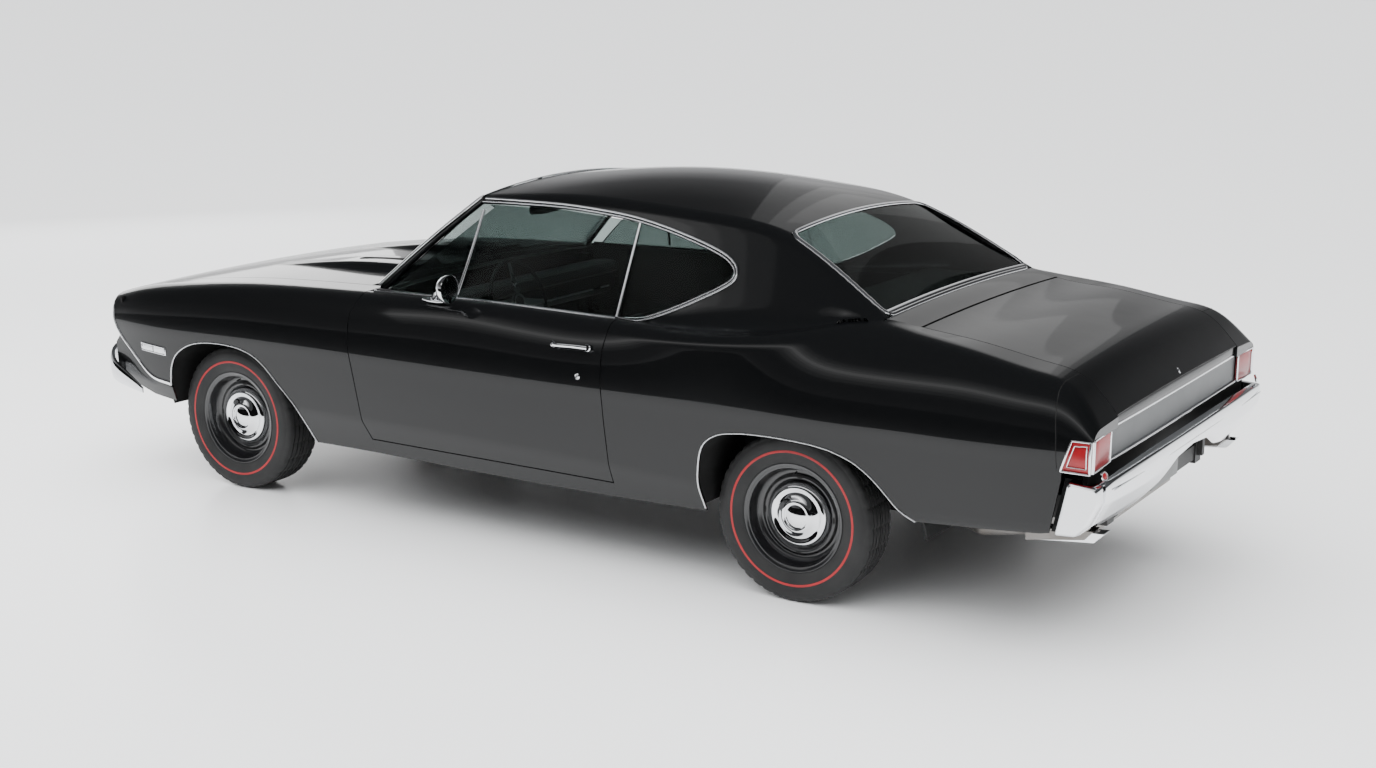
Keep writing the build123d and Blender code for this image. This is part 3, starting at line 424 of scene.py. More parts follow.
# Materials, all made of nodes
def material(name, color, rough, metal=0.0, coat=0.0, grain=None, vary=0.0, spot=None, alpha_glass=0.0,
             sheen=0.0, ior=1.5, spec=0.5, coat_rough=0.02):
    """Shader with grain in its bump, variation in its roughness and a second colour in faint patches."""
    m = bpy.data.materials.new(name)
    m.use_nodes = True
    tree = m.node_tree

    def fill(node, **values):
        for key, value in values.items():
            node.inputs[key.replace("_", " ")].default_value = value
        return node

    def add(kind, **values):
        return fill(tree.nodes.new("ShaderNode" + kind), **values)

    shader = fill(tree.nodes["Principled BSDF"], Base_Color=(*color, 1), Roughness=rough, Metallic=metal,
                  Coat_Weight=coat, Coat_Roughness=coat_rough, IOR=ior, Specular_IOR_Level=spec,
                  Transmission_Weight=alpha_glass, Sheen_Weight=sheen)
    where = add("TexCoord")
    if vary:
        noise = add("TexNoise", Scale=7.0, Detail=6.0)
        spread = add("MapRange", To_Min=max(rough - vary, 0.0), To_Max=rough + vary)
        tree.links.new(where.outputs["Object"], noise.inputs["Vector"])
        tree.links.new(noise.outputs["Fac"], spread.inputs["Value"])
        tree.links.new(spread.outputs["Result"], shader.inputs["Roughness"])
    if spot:
        patches = add("TexNoise", Scale=spot[1], Detail=5.0)
        ramp = add("ValToRGB")
        for element, place_on_ramp, tint in zip(ramp.color_ramp.elements, (0.35, 0.75), (color, spot[0])):
            element.position, element.color = place_on_ramp, (*tint, 1)
        tree.links.new(where.outputs["Object"], patches.inputs["Vector"])
        tree.links.new(patches.outputs["Fac"], ramp.inputs["Fac"])
        tree.links.new(ramp.outputs["Color"], shader.inputs["Base Color"])
    if grain:
        kind, scale, strength, distance = grain
        if kind == "cells":
            texture = add("TexVoronoi", Scale=scale)
            height = texture.outputs["Distance"]
        else:
            texture = add("TexNoise", Scale=scale, Detail=3.0)
            height = texture.outputs["Fac"]
        bump = add("Bump", Strength=strength, Distance=distance)
        tree.links.new(where.outputs["Object"], texture.inputs["Vector"])
        tree.links.new(height, bump.inputs["Height"])
        tree.links.new(bump.outputs["Normal"], shader.inputs["Normal"])
    return m


paint = material("gloss_black", (0.0022, 0.0024, 0.0027), 0.35, coat=0.6, spec=0.1, coat_rough=0.05,
                 vary=0.03, grain=("noise", 900.0, 0.05, 0.00002))
under = material("satin_black", (0.012, 0.012, 0.012), 0.55, grain=("noise", 220.0, 0.4, 0.0006), vary=0.1,
                 spot=((0.02, 0.019, 0.018), 14.0))
chrome = material("chrome", (0.83, 0.84, 0.86), 0.05, metal=1.0, vary=0.02,
                  grain=("noise", 500.0, 0.03, 0.00001))
satin_chrome = material("satin_chrome", (0.55, 0.56, 0.57), 0.28, metal=1.0, vary=0.06,
                        grain=("noise", 700.0, 0.1, 0.00003))
glass = material("tinted_glass", (0.22, 0.26, 0.25), 0.0, alpha_glass=1.0, vary=0.004, ior=1.12)
rubber = material("tyre_rubber", (0.012, 0.012, 0.0125), 0.72, grain=("noise", 420.0, 0.5, 0.0003),
                  vary=0.08, spot=((0.020, 0.020, 0.020), 9.0))
red_line = material("red_line", (0.36, 0.012, 0.016), 0.6, grain=("noise", 500.0, 0.3, 0.0002), vary=0.08,
                    spot=((0.28, 0.014, 0.018), 20.0))
wheel_black = material("wheel_enamel", (0.006, 0.006, 0.007), 0.3, coat=0.7, vary=0.06,
                       grain=("noise", 300.0, 0.06, 0.00005))
vinyl = material("black_vinyl", (0.012, 0.012, 0.013), 0.48, grain=("cells", 420.0, 0.5, 0.0005), vary=0.08,
                 sheen=0.05)
plastic = material("dash_plastic", (0.011, 0.011, 0.012), 0.5, grain=("cells", 700.0, 0.35, 0.0003),
                   vary=0.07)
carpet = material("carpet", (0.010, 0.010, 0.010), 0.95, grain=("noise", 900.0, 1.0, 0.002), sheen=0.2,
                  spot=((0.018, 0.018, 0.018), 60.0))
red_lens = material("red_lens", (0.30, 0.003, 0.008), 0.3, coat=0.12, vary=0.03,
                    grain=("cells", 260.0, 0.25, 0.0004), spot=((0.17, 0.003, 0.006), 12.0))
clear_lens = material("clear_lens", (0.78, 0.80, 0.82), 0.08, metal=0.6, coat=0.8,
                      grain=("cells", 160.0, 0.7, 0.001), vary=0.03)
panel_grey = material("panel_grey", (0.10, 0.105, 0.108), 0.42, metal=0.4,
                      grain=("noise", 350.0, 0.25, 0.0002), vary=0.06)
plate_grey = material("plate_grey", (0.16, 0.165, 0.165), 0.5, grain=("noise", 260.0, 0.2, 0.0002),
                      vary=0.06)
iron_dark = material("drum_iron", (0.02, 0.019, 0.018), 0.6, grain=("noise", 180.0, 0.5, 0.0006), vary=0.08)
iron = material("engine_iron", (0.075, 0.024, 0.015), 0.55, grain=("noise", 150.0, 0.5, 0.001), vary=0.1,
                spot=((0.05, 0.02, 0.014), 12.0))
steel = material("exhaust_steel", (0.28, 0.27, 0.26), 0.4, metal=1.0, grain=("noise", 200.0, 0.3, 0.0004),
                 vary=0.1, spot=((0.18, 0.16, 0.14), 8.0))
# Near-black matte for black rubber, seals and seams, and for painted shade: dark strips and sheets stand in
# for the shade inside slots, holes, gaps and wheel wells.
dark = material("black_parts_and_painted_shade", (0.004, 0.004, 0.004), 0.85, grain=("noise", 120.0, 0.4, 0.0006),
                spot=((0.008, 0.008, 0.008), 30.0))


def revolve(name, profile, centre, axis, mat, body, stands=(), segments=96, sharp=32.0,
            mats=None, notch=False):
    """Solid of revolution from rows of along and radius, millimetres; mats is the material index per row."""
    axis = Vector(axis).normalized()
    side = axis.orthogonal().normalized()
    up = axis.cross(side)
    c = Vector(centre)
    verts, faces, index = [], [], []
    rows = len(profile)
    for k in range(segments):
        a = 2 * math.pi * k / segments
        spoke = side * math.cos(a) + up * math.sin(a)
        for along, radius in profile:
            block_edge = k % 4 == 0 and abs(along) > 66 and radius > 305
            low = notch and (block_edge or k % 7 == 0 and radius > 322)
            verts.append(tuple((c + axis * along + spoke * (radius - (4.5 if low else 0))) * MM))
    closed = profile[0] == profile[-1]
    for k in range(segments):
        m = (k + 1) % segments
        for i in range(rows - 1):
            quad = (k * rows + i, k * rows + i + 1, m * rows + i + 1, m * rows + i)
            if profile[i][1] < 1e-6:
                quad = (k * rows + i, k * rows + i + 1, m * rows + i + 1)
            elif profile[i + 1][1] < 1e-6:
                quad = (k * rows + i, k * rows + i + 1, m * rows + i)
            faces.append(quad)
            index.append(mats[i] if mats else 0)
    data = slim_mesh(name, verts, faces)
    if mats:
        for poly, i in zip(data.polygons, index):
            poly.material_index = i
    return finish_mesh(name, data, mat, body, stands, sharp)


def finish_mesh(name, data, mat, body, stands=(), sharp=32.0, bevel=0.0):
    """An object of a raw mesh: joined points, faces that look out, bevelled and sharp edges."""
    work = bmesh.new()
    work.from_mesh(data)
    bmesh.ops.remove_doubles(work, verts=work.verts, dist=1e-6)
    bmesh.ops.recalc_face_normals(work, faces=work.faces)
    if bevel:
        edges = [e for e in work.edges
                 if len(e.link_faces) == 2 and e.calc_face_angle(0) > math.radians(30)]
        bmesh.ops.bevel(work, geom=edges, offset=bevel * MM, segments=2, affect="EDGES", profile=0.7,
                        clamp_overlap=True)
    work.to_mesh(data)
    work.free()
    for poly in data.polygons:
        poly.use_smooth = True
    data.set_sharp_from_angle(angle=math.radians(sharp))
    mats = mat if isinstance(mat, (list, tuple)) else [mat]
    obj = place(name, data, None, body, stands)
    for m in mats:
        obj.data.materials.append(m)
    return obj


def lofted(name, rings, mat, body, stands=(), caps=True, closed=True, sharp=32.0, mirror=False,
           bevel=0.0):
    """Skin through rings of points, millimetres."""
    rings = [np.array(r, float) for r in rings]
    n = len(rings[0])
    verts = np.vstack(rings)
    faces = []
    for i in range(len(rings) - 1):
        for k in range(n if closed else n - 1):
            m = (k + 1) % n
            faces.append((i * n + k, i * n + m, (i + 1) * n + m, (i + 1) * n + k))
    if caps and closed:
        faces += [tuple(range(n)), tuple(range((len(rings) - 1) * n, len(rings) * n))]
    if mirror:
        verts = np.vstack([verts, verts * np.array([1, -1, 1])])
        total = len(rings) * n
        faces += [tuple(v + total for v in f[::-1]) for f in list(faces)]
    return finish_mesh(name, slim_mesh(name, verts * MM, faces), mat, body, stands, sharp, bevel)


def smooth_rows(rows, per=6):
    """More rows between the given ones, each number on a smooth line."""
    rows = np.array(rows, float)
    shape = rows.shape
    flat = rows.reshape(len(rows), -1)
    along = np.concatenate([[0], np.cumsum(np.maximum(np.linalg.norm(np.diff(flat, axis=0), axis=1),
                                                      1e-6))])
    line = spline_of([(s, *r) for s, r in zip(along, flat)])
    out = []
    for a, b in zip(along, along[1:]):
        out += [line(a + (b - a) * k / per) for k in range(per)]
    out.append(line(along[-1]))
    return [r.reshape(shape[1:]) for r in out]


def bead(name, path, normals, width, height, mat, body, mirror=False, sink=1.0, closed=False,
         taper=None):
    """Domed moulding along a line on a surface, millimetres."""
    path, normals = np.array(path, float), np.array(normals, float)
    if normals.ndim == 1:
        normals = np.tile(normals, (len(path), 1))
    shape = [(-0.5, -sink), (-0.48, height * 0.45), (-0.32, height * 0.85), (0, height),
             (0.32, height * 0.85), (0.48, height * 0.45), (0.5, -sink)]
    rings = []
    for i, p in enumerate(path):
        a = path[(i - 1) % len(path)] if closed or i else path[i]
        b = path[(i + 1) % len(path)] if closed or i < len(path) - 1 else path[i]
        t = unit(b - a)
        n = unit(normals[i] - t * (normals[i] @ t))
        side = np.cross(t, n)
        w = width * (taper[i] if taper is not None else 1.0)
        rings.append([p + side * w * u + n * v for u, v in shape])
    if closed:
        rings.append(rings[0])
    return lofted(name, rings, mat, body, caps=not closed, mirror=mirror, sharp=50.0)


def on_skin(surface, line, lift=0.0):
    """Points and normals of a surface along a line of x, girth."""
    line = np.array(line, float)
    p, n = surface.at(line[:, 0], line[:, 1])
    return p + n * lift, n


def pipe(name, path, radius, mat, body, stands=(), mirror=False, sides=20):
    """Round bar along a smooth line."""
    path = np.array(path, float)
    rings, last = [], None
    for i, p in enumerate(path):
        t = unit(path[min(i + 1, len(path) - 1)] - path[max(i - 1, 0)])
        if last is None:
            last = unit(np.cross(t, (0, 0, 1) if abs(t[2]) < 0.9 else (0, 1, 0)))
        u = unit(last - t * (last @ t))
        v = np.cross(t, u)
        last = u
        r = radius[i] if hasattr(radius, "__len__") else radius
        rings.append([p + (u * math.cos(a) + v * math.sin(a)) * r
                      for a in np.linspace(0, 2 * math.pi, sides, endpoint=False)])
    return lofted(name, rings, mat, body, stands, mirror=mirror, sharp=45.0)


# Body skins
TOP = 9999.0


def both(column):
    """A half outline and its mirror image, from the right edge to the left edge."""
    def full(x):
        half = column(x)
        return np.vstack([half[::-1] * np.array([-1, 1]), half[1:]])
    return full


side = Surface(side_column, -2405, 2390)
deck = Surface(both(top_column), -2405, 2390)
shell = Surface(both(roof_column), -1521, 367)
BEGIN = float(side.girth[6])


def trace(surface, pts, top):
    """An outline of x, z points turned into places on a surface; TOP stands for its upper edge."""
    out = []
    for a, b in zip(pts, pts[1:] + pts[:1]):
        up_a, up_b = a[1] >= TOP, b[1] >= TOP
        if up_a and up_b:
            out += [(x, top(x)) for x, _ in dense([(a[0], 0), (b[0], 0)], 11.0, closed=False)[:-1]]
        elif up_a or up_b:
            out.append((a[0], top(a[0]) if up_a else surface.down(*a)))
        else:
            out += [(x, surface.down(x, z)) for x, z in dense([a, b], 11.0, closed=False)[:-1]]
    return out


FRONT_ARCH = curved([(1082, 300), (1146, 432), (1204, 495), (1270, 556), (1330, 612), (1392, 650),
                     (1452, 669), (1517, 679), (1610, 681), (1706, 673), (1795, 651), (1878, 603),
                     (1922, 538), (1938, 447)])
REAR_ARCH = curved([(-897, 325), (-884, 400), (-882, 470), (-895, 553), (-925, 600), (-976, 630),
                    (-1040, 644), (-1105, 651), (-1210, 654), (-1320, 651), (-1390, 645), (-1451, 634),
                    (-1532, 606), (-1602, 560), (-1655, 510), (-1705, 460), (-1768, 419)])
DOOR = [(830.5, TOP), (830.5, 953), (852.5, 887), (835.5, 747), (781.5, 444), (746, 364.5), (-479.5, 364.5),
        (-453.5, 600), (-431.5, 880), (-431.5, TOP)]
FENDER = ([(836, TOP), (836, 953), (858, 887), (841, 747), (787, 443.5), (751.5, 360), (751.5, 250),
           (1070, 250)] + FRONT_ARCH
          + [(2074, 468), (2192, 554), (2315, 656), (2372, 778), (2384, 806), (2384, TOP)])
QUARTER = ([(-437, TOP), (-437, 880), (-459, 600), (-485.5, 360), (-485.5, 250), (-903, 250)] + REAR_ARCH
           + [(-2010, 433), (-2224, 453), (-2262, 462), (-2300, 657), (-2301, 689), (-2338, 799),
              (-2404, 799), (-2404, TOP), (-1519, TOP), (-1519, TOP)])


def quarter_top(x):
    """Upper edge of the rear quarter: under the pillar, then at the seam."""
    return BEGIN if x > -1519.5 else 0.0


put_panel("fender_skin_left", panel(side, trace(side, FENDER, lambda x: 0.0)), paint, "body",
          ("fender_left",), "fender_skin_right", "body", ("fender_right",))
put_panel("door_skin_left", panel(side, trace(side, DOOR, lambda x: side.across(x, 806.0))), paint,
          "door_left", ("door_left",), "door_skin_right", "door_right", ("door_right",))
put_panel("quarter_skin_left", panel(side, trace(side, QUARTER, quarter_top), lip=0.6), paint, "body",
          ("quarter_left",), "quarter_skin_right", "body", ("quarter_right",))
SILL = [(-484, 358.5), (-484, 200), (750, 200), (750, 358.5)]
put_panel("rocker_skin_left", panel(side, trace(side, SILL, lambda x: 0.0), thick=30.0), paint, "body",
          ("rockers",), "rocker_skin_right", "body")

# Roof with its rear pillars, cut round the side windows and the rear window
WINDOW_TOP = curved([(367, 1358), (200, 1364), (-52, 1367), (-230, 1360), (-382, 1347), (-520, 1324),
                     (-632, 1298), (-740, 1268), (-821, 1240), (-866, 1214), (-885, 1190), (-879, 1166),
                     (-838, 1137), (-778, 1105), (-715, 1073), (-650, 1043), (-590, 1018), (-530, 1000),
                     (-437, 991)])


def pillar_place(x, z):
    """Place on the roof's left side at a station and a height."""
    i = int(np.clip(round((x - shell.x0) / shell.step), 0, len(shell.xs) - 1))
    middle = shell.ns // 2
    heights = shell.p[i, middle:, 2]
    return float(np.interp(-z, -np.minimum.accumulate(heights), shell.girth[middle:]))


def roof_outline():
    """The roof with its rear pillars, round the side windows and the rear window."""
    whole = shell.girth[-1]
    left = [(x, pillar_place(x, z)) for x, z in WINDOW_TOP]
    left += [(x, whole) for x, _ in dense([(-437, 0), (-1520, 0)], 11.0, closed=False)]
    left.append((-1520, shell.across(-1520, 664)))
    left += [(x, shell.across(x, y)) for x, y in dense([(-1500, 657), (-1054, 562)], 11.0, closed=False)]
    right = [(x, whole - g) for x, g in left[::-1]]
    return left + right


put_panel("roof_skin", panel(shell, roof_outline(), lip=0.6, thick=12.0, step=14.0), paint, "body",
          ("roof",))


def strip_outline(x0, x1, edge):
    """Outline of a top panel between two stations, a gap inside the seams."""
    xs = [x for x, _ in dense([(x0, 0), (x1, 0)], 11.0, closed=False)]
    left = [(x, deck.across(x, body_at(x)[0] - edge)) for x in xs]
    return left + [(x, deck.girth[-1] - g) for x, g in left[::-1]]


put_panel("hood_skin", panel(deck, strip_outline(908, 2386, 4.5), thick=14.0), paint, "hood", ("hood",))
put_panel("lid_skin", panel(deck, strip_outline(-1654, -2399, 4.5), thick=12.0), paint, "trunk_lid",
          ("trunk_lid",))
put_panel("deck_skin", panel(deck, strip_outline(-1522, -1644, 0.8), thick=12.0, lip=0.5), paint, "body",
          ("deck_filler",))

def grown_line(points, amount):
    """An open line moved to its right-hand side."""
    pts = np.array(points, float)
    out = []
    for i in range(len(pts)):
        t = unit(pts[min(i + 1, len(pts) - 1)] - pts[max(i - 1, 0)])
        out.append((pts[i][0] + t[1] * amount, pts[i][1] - t[0] * amount))
    return out


def side_line(points, step=14.0):
    """A line of x, z laid on the body side."""
    return [(x, side.down(x, z)) for x, z in dense(points, step, closed=False)]


# Windscreen pillars with bright edges
PILLAR = [((800, 746, 985), 24, 22), ((700, 716, 1080), 22, 19), ((520, 656, 1243), 20, 17),
          ((367, 597, 1372), 20, 16)]
pillar_rows = smooth_rows([(*c, w, h) for c, w, h in PILLAR], 5)
oval = [(math.cos(a), math.sin(a)) for a in np.linspace(0, 2 * math.pi, 16, endpoint=False)]
lofted("windscreen_pillars", [[(r[0], r[1] + r[3] * c, r[2] + r[4] * s) for c, s in oval]
                              for r in pillar_rows], paint, "body",
       mirror=True)
out = unit((0.25, 0.9, 0.45))
bead("pillar_bright_edges", [(r[0] + 6, r[1] + r[3] * 0.86, r[2] + r[4] * 0.55) for r in pillar_rows], out,
     13, 6, chrome, "body", mirror=True)
front = unit((0.75, 0.0, 0.66))
bead("windscreen_side_trim", [(r[0] + 14, r[1] - r[3] * 0.5, r[2] + r[4] * 0.75) for r in pillar_rows],
     front, 14, 5, chrome, "body", mirror=True)
top_trim = [(374 + 12 * (1 - (y / 590) ** 2), y, 1382 + 41 * (1 - (y / 600) ** 2))
            for y in np.linspace(-585, 585, 40)]
bead("windscreen_top_trim", top_trim, unit((0.6, 0, 0.8)), 16, 4, chrome, "body")
base_trim = [(812 + 46 * (1 - (y / 724) ** 2), y, 978 + 16 * (1 - (y / 724) ** 2))
             for y in np.linspace(-715, 715, 40)]
bead("windscreen_base_trim", base_trim, unit((0.8, 0, 0.6)), 16, 5, chrome, "body")

# Drip rails, window frames and belt mouldings
gutter = [(x, pillar_place(x, z)) for x, z in grown_line(WINDOW_TOP, 15)]
p, n = on_skin(shell, gutter)
bead("drip_rails", p, n, 11, 9, chrome, "body", mirror=True)
edge = [(x, pillar_place(x, z)) for x, z in grown_line(WINDOW_TOP, 3.5)]
p, n = on_skin(shell, edge)
bead("window_edges", p, n, 6, 5, chrome, "body", mirror=True)
gap = [(x, pillar_place(x, z)) for x, z in grown_line(WINDOW_TOP, 9)]
p, n = on_skin(shell, gap)
bead("window_seals", p, n, 7, 2.4, dark, "body", mirror=True)


def belt(x0, x1):
    """The line of a belt moulding on top of a door between two stations."""
    return [(x, 812 - 3, top_line(body_at(x), 812) + 1.5) for x in np.linspace(x0, x1, 40)]


for side_name, flip in (("left", 1), ("right", -1)):
    line = np.array(belt(800, -429)) * (1, flip, 1)
    bead("belt_moulding_" + side_name, line, (0, 0.35 * flip, 0.94), 13, 5, chrome, "door_" + side_name)
    frame_line = np.array([(600, 757, 1000), (612, 737, 1048), (470, 696, 1180), (330, 652, 1335),
                           (336, 700, 1230), (346, 760, 1100), (358, 801, 1003)]) * (1, flip, 1)
    bead("vent_frame_" + side_name, smooth_rows(frame_line[3:], 8), (0, 0.9 * flip, 0.3), 13, 6, chrome,
         "door_" + side_name)
    card = [[(x, 785 * flip, 985), (x, 785 * flip, 400), (x, 792 * flip, 400), (x, 800 * flip, 985)]
            for x in np.linspace(795, -425, 12)]
    lofted("door_card_" + side_name, card, vinyl, "door_" + side_name, bevel=4)
    rest = [[(x, (785 - d) * flip, 705), (x, 786 * flip, 700), (x, 786 * flip, 650),
             (x, (785 - d * 0.6) * flip, 652)]
            for x, d in zip(np.linspace(330, -360, 12), [8, 40, 52, 54, 54, 54, 54, 54, 54, 52, 40, 8])]
    lofted("armrest_" + side_name, rest, vinyl, "door_" + side_name, bevel=6)
    pull = [(60, 770 * flip, 790), (40, 745 * flip, 800), (-40, 742 * flip, 802), (-60, 770 * flip, 790)]
    pipe("door_pull_" + side_name, smooth_rows(pull, 6), 7, satin_chrome, "door_" + side_name)

# Rear window surround
surround = [(-1054, 562), (-1054, -562), (-1519, -664), (-1519, 664)]
ring = rounded(surround, 60, 6)
ring_line = [(x, shell.across(x, y)) for x, y in dense(ring, 14.0)]
ring_line = [(min(max(x, -1518), 360), g) for x, g in ring_line]
p, n = on_skin(shell, ring_line)
bead("rear_window_surround", p, n, 20, 6, chrome, "body", closed=True)
p, n = on_skin(shell, [(-1508, shell.across(-1508, y)) for y in np.linspace(-645, 645, 40)])
bead("rear_window_sill", p, n, 26, 6, chrome, "body")

# Lining under the roof, shelf, quarter trim
lining = [[(x, y, house_at(x)[4] - 34 - 45 * (y / 560) ** 2) for y in np.linspace(-545, 545, 12)]
          + [(x, y, house_at(x)[4] - 26 - 40 * (y / 560) ** 2) for y in np.linspace(545, -545, 12)]
          for x in np.linspace(350, -1020, 14)]
lofted("roof_lining", lining, vinyl, "body")
lofted("parcel_shelf", [[(x, -668, 1042), (x, 668, 1042), (x, 668, 1031), (x, -668, 1031)]
                        for x in (-1060, -1300, -1522)], carpet, "body",
       bevel=3)
lofted("quarter_trim", [[(x, 640, top), (x, 660, top), (x, 700, 590), (x, 680, 590)]
                        for x, top in ((-470, 980), (-700, 1000), (-960, 1010))], vinyl, "body",
       mirror=True, bevel=4)

# Arch lips, seam of the end caps, lower front strip
for label, arch in (("front", FRONT_ARCH), ("rear", REAR_ARCH)):
    p, n = on_skin(side, [(x, side.down(x, z)) for x, z in arch], 0.0)
    bead("arch_lip_" + label, p, n, 6.5, 3.5, satin_chrome, "body", mirror=True)
p, n = on_skin(side, side_line([(-2284, 690), (-2276, 800), (-2262, 880), (-2252, 940)]), 0.1)
bead("end_cap_seam", p, n, 3.0, 0.5, dark, "body", mirror=True, sink=0.3)
p, n = on_skin(side, [(-2252 + (g - side.down(-2252, 940)) * 0.02, g)
                      for g in np.linspace(side.down(-2252, 940), 4, 24)], 0.1)
bead("end_cap_seam_top", p, n, 3.0, 0.5, dark, "body", mirror=True, sink=0.3)
low_edge = curved([(1940, 455), (2074, 476), (2192, 561), (2310, 662), (2362, 776)], 8)
p, n = on_skin(side, [(x, side.down(x, z)) for x, z in low_edge])
bead("fender_lower_strip", p, n, 16, 4, chrome, "body", mirror=True,
     taper=list(np.linspace(1.2, 0.6, len(p))))
marker = [(1958, 586), (2122, 592), (2124, 624), (1960, 617)]
p, n = on_skin(side, [(x, side.down(x, z)) for x, z in dense(marker, 10.0)])
bead("side_marker_frames", p, n, 8, 4.5, chrome, "body", mirror=True, closed=True)
for label, x0, x1, lens_mat in (("front", 2044, 2118, clear_lens), ("rear", 1964, 2038, clear_lens)):
    rows = [[tuple(q) for q in (side.at([x] * 4, [side.down(x, 590), side.down(x, 590), side.down(x, 618),
                                                  side.down(x, 618)])[0]
                                + np.array([[0, -4, 0], [0, 3, 0], [0, 3, 0], [0, -4, 0]]))]
            for x in np.linspace(x0, x1, 5)]
    lofted("side_marker_lenses_" + label, rows, lens_mat, "body", mirror=True, bevel=1.5)

# Tail lamps that wrap round the corners, with bright frames
def lamp_front(z):
    """Front edge of a tail lamp's side lens, which leans."""
    return -2302 - (z - 690) * 0.33


lens_rows = []
for z in (690, 697, 740, 791, 798):
    inset = 4 if z in (690, 798) else 0
    ys = [side.at([x], [side.down(x, z)])[0][0][1] - inset for x in (lamp_front(z), -2350, -2396)]
    lens_rows.append([(lamp_front(z) - inset, ys[0], z), (-2350, ys[1], z), (-2392, ys[2], z),
                      (-2401 + inset, ys[2] - 14, z),
                      (-2403 + inset, 860, z), (-2397 + inset, 740, z), (-2388, 738, z), (-2388, 880, z),
                      (-2340, 900, z), (lamp_front(z), 905, z)])
lofted("tail_lamp_lenses", lens_rows, red_lens, "body", ("tail_lamps",), mirror=True, sharp=40)
frame_side = dense([(lamp_front(690) + 4, 688), (-2398, 688), (-2398, 796), (lamp_front(796) + 4, 796)],
                   9.0)
p, n = on_skin(side, [(x, side.down(x, z)) for x, z in frame_side], 0.5)
bead("tail_lamp_side_frames", p, n, 8, 5, chrome, "body", mirror=True, closed=True)
frame_in = dense([(lamp_front(706) - 12, 706), (-2386, 706), (-2386, 781), (lamp_front(781) - 12, 781)],
                 9.0)
p, n = on_skin(side, [(x, side.down(x, z)) for x, z in frame_in], 0.5)
bead("tail_lamp_side_inner_frames", p, n, 4, 4, chrome, "body", mirror=True, closed=True)
corner = [(-2402, 924, z) for z in np.linspace(690, 798, 8)]
bead("tail_lamp_corner_bars", corner, unit((-0.8, 0.6, 0)), 9, 4, chrome, "body", mirror=True)
face = dense([(912, 690), (738, 690), (738, 800), (912, 800)], 9.0)
bead("tail_lamp_rear_frames", [(-2403 + 7 * (912 - y) / 174, y, z) for y, z in face], (-1, 0, 0), 8, 4,
     chrome, "body", mirror=True, closed=True)

cap_rows = []
for y in np.linspace(692, 926, 16):
    top_z = side.at([-2403.0], [side.across(-2403, y)])[0][0][2]
    cap_rows.append([(-2403.5, y, 799), (-2403.5, y, top_z - 1.5), (-2392, y, top_z - 1.5),
                     (-2392, y, 799)])
lofted("quarter_tail_caps", cap_rows, paint, "body", mirror=True, sharp=50)
p = [(-429, 811 - (z - 975) * 0.481 + 3, z) for z in np.linspace(993, 1338, 16)]
bead("side_glass_split", p, (0, 0.9, 0.43), 12, 4, chrome, "body", mirror=True)

# Tail panel between the lamps
panel_rows = [[(-2385 - 4 * (1 - (y / 730) ** 2), y, 696), (-2385 - 4 * (1 - (y / 730) ** 2), y, 800),
               (-2378, y, 800), (-2378, y, 696)]
              for y in np.linspace(-730, 730, 24)]
lofted("tail_panel_face", panel_rows, panel_grey, "body")
for label, z, width in (("top", 805, 13), ("bottom", 691, 11)):
    line = [(-2388 - 4 * (1 - (y / 735) ** 2), y, z) for y in np.linspace(-735, 735, 40)]
    bead("tail_panel_moulding_" + label, line, (-1, 0, 0.15), width, 6, chrome, "body")
lid_lip = []
for y in np.linspace(-690, 690, 40):
    edge_z = deck.at([-2399], [deck.across(-2399, y)])[0][0][2]
    x = -2401 + 8 * (abs(y) / 690) ** 4
    lid_lip.append([(x, y, 813), (x - 0.5, y, edge_z - 6), (x + 3, y, edge_z - 2), (x + 9, y, edge_z - 4),
                    (x + 8, y, 813)])
lofted("lid_rear_lip", lid_lip, paint, "trunk_lid", sharp=50)
# A near-black sheet in place of the tail panel, seen only in the gaps round the lamps, the tail panel and
# the bumper: painted shade.
lofted("tail_panel_painted_shade_sheet", [[(-2376, y, 604), (-2376, y, 832), (-2362, y, 832), (-2362, y, 604)]
                            for y in np.linspace(-889, 889, 12)],
       dark, "body", ("tail_panel",))

# Rear bumper
BUMPER_BLADE = [
    (0, (-2430, 674), (-2466, 669), (-2471, 650), (-2472, 628), (-2466, 612), (-2455, 600), (-2440, 603),
     (-2432, 630)),
    (190, (-2430, 674), (-2466, 669), (-2471, 648), (-2472, 618), (-2463, 596), (-2450, 582), (-2436, 586),
     (-2432, 618)),
    (330, (-2430, 674), (-2466, 669), (-2471, 645), (-2471, 595), (-2456, 552), (-2438, 527), (-2424, 532),
     (-2432, 590)),
    (600, (-2429, 671), (-2461, 666), (-2467, 643), (-2468, 585), (-2440, 524), (-2404, 483), (-2390, 490),
     (-2425, 575)),
    (800, (-2426, 666), (-2455, 661), (-2460, 640), (-2460, 588), (-2424, 516), (-2380, 473), (-2366, 481),
     (-2418, 575)),
    (870, (-2423, 662), (-2452, 656), (-2455, 636), (-2455, 590), (-2418, 514), (-2371, 471), (-2358, 479),
     (-2414, 580)),
    (903, (-2419, 655), (-2446, 647), (-2447, 630), (-2446, 590), (-2411, 512), (-2362, 467), (-2350, 474),
     (-2405, 585)),
]
blade = smooth_rows([[c for q in rounded(s, 5, 4) for c in q] for _, *s in BUMPER_BLADE], 6)
ys = smooth_rows([[r[0]] for r in BUMPER_BLADE], 6)
lofted("rear_bumper_blade",
       [[(x, float(y[0]), z) for x, z in np.array(row).reshape(-1, 2)] for row, y in zip(blade, ys)],
       chrome, "body", ("rear_bumper",), mirror=True, sharp=38)
END = [(-2326, 658), (-2440, 650), (-2443, 590), (-2408, 512), (-2362, 468), (-2286, 462), (-2306, 558)]
end_rows = []
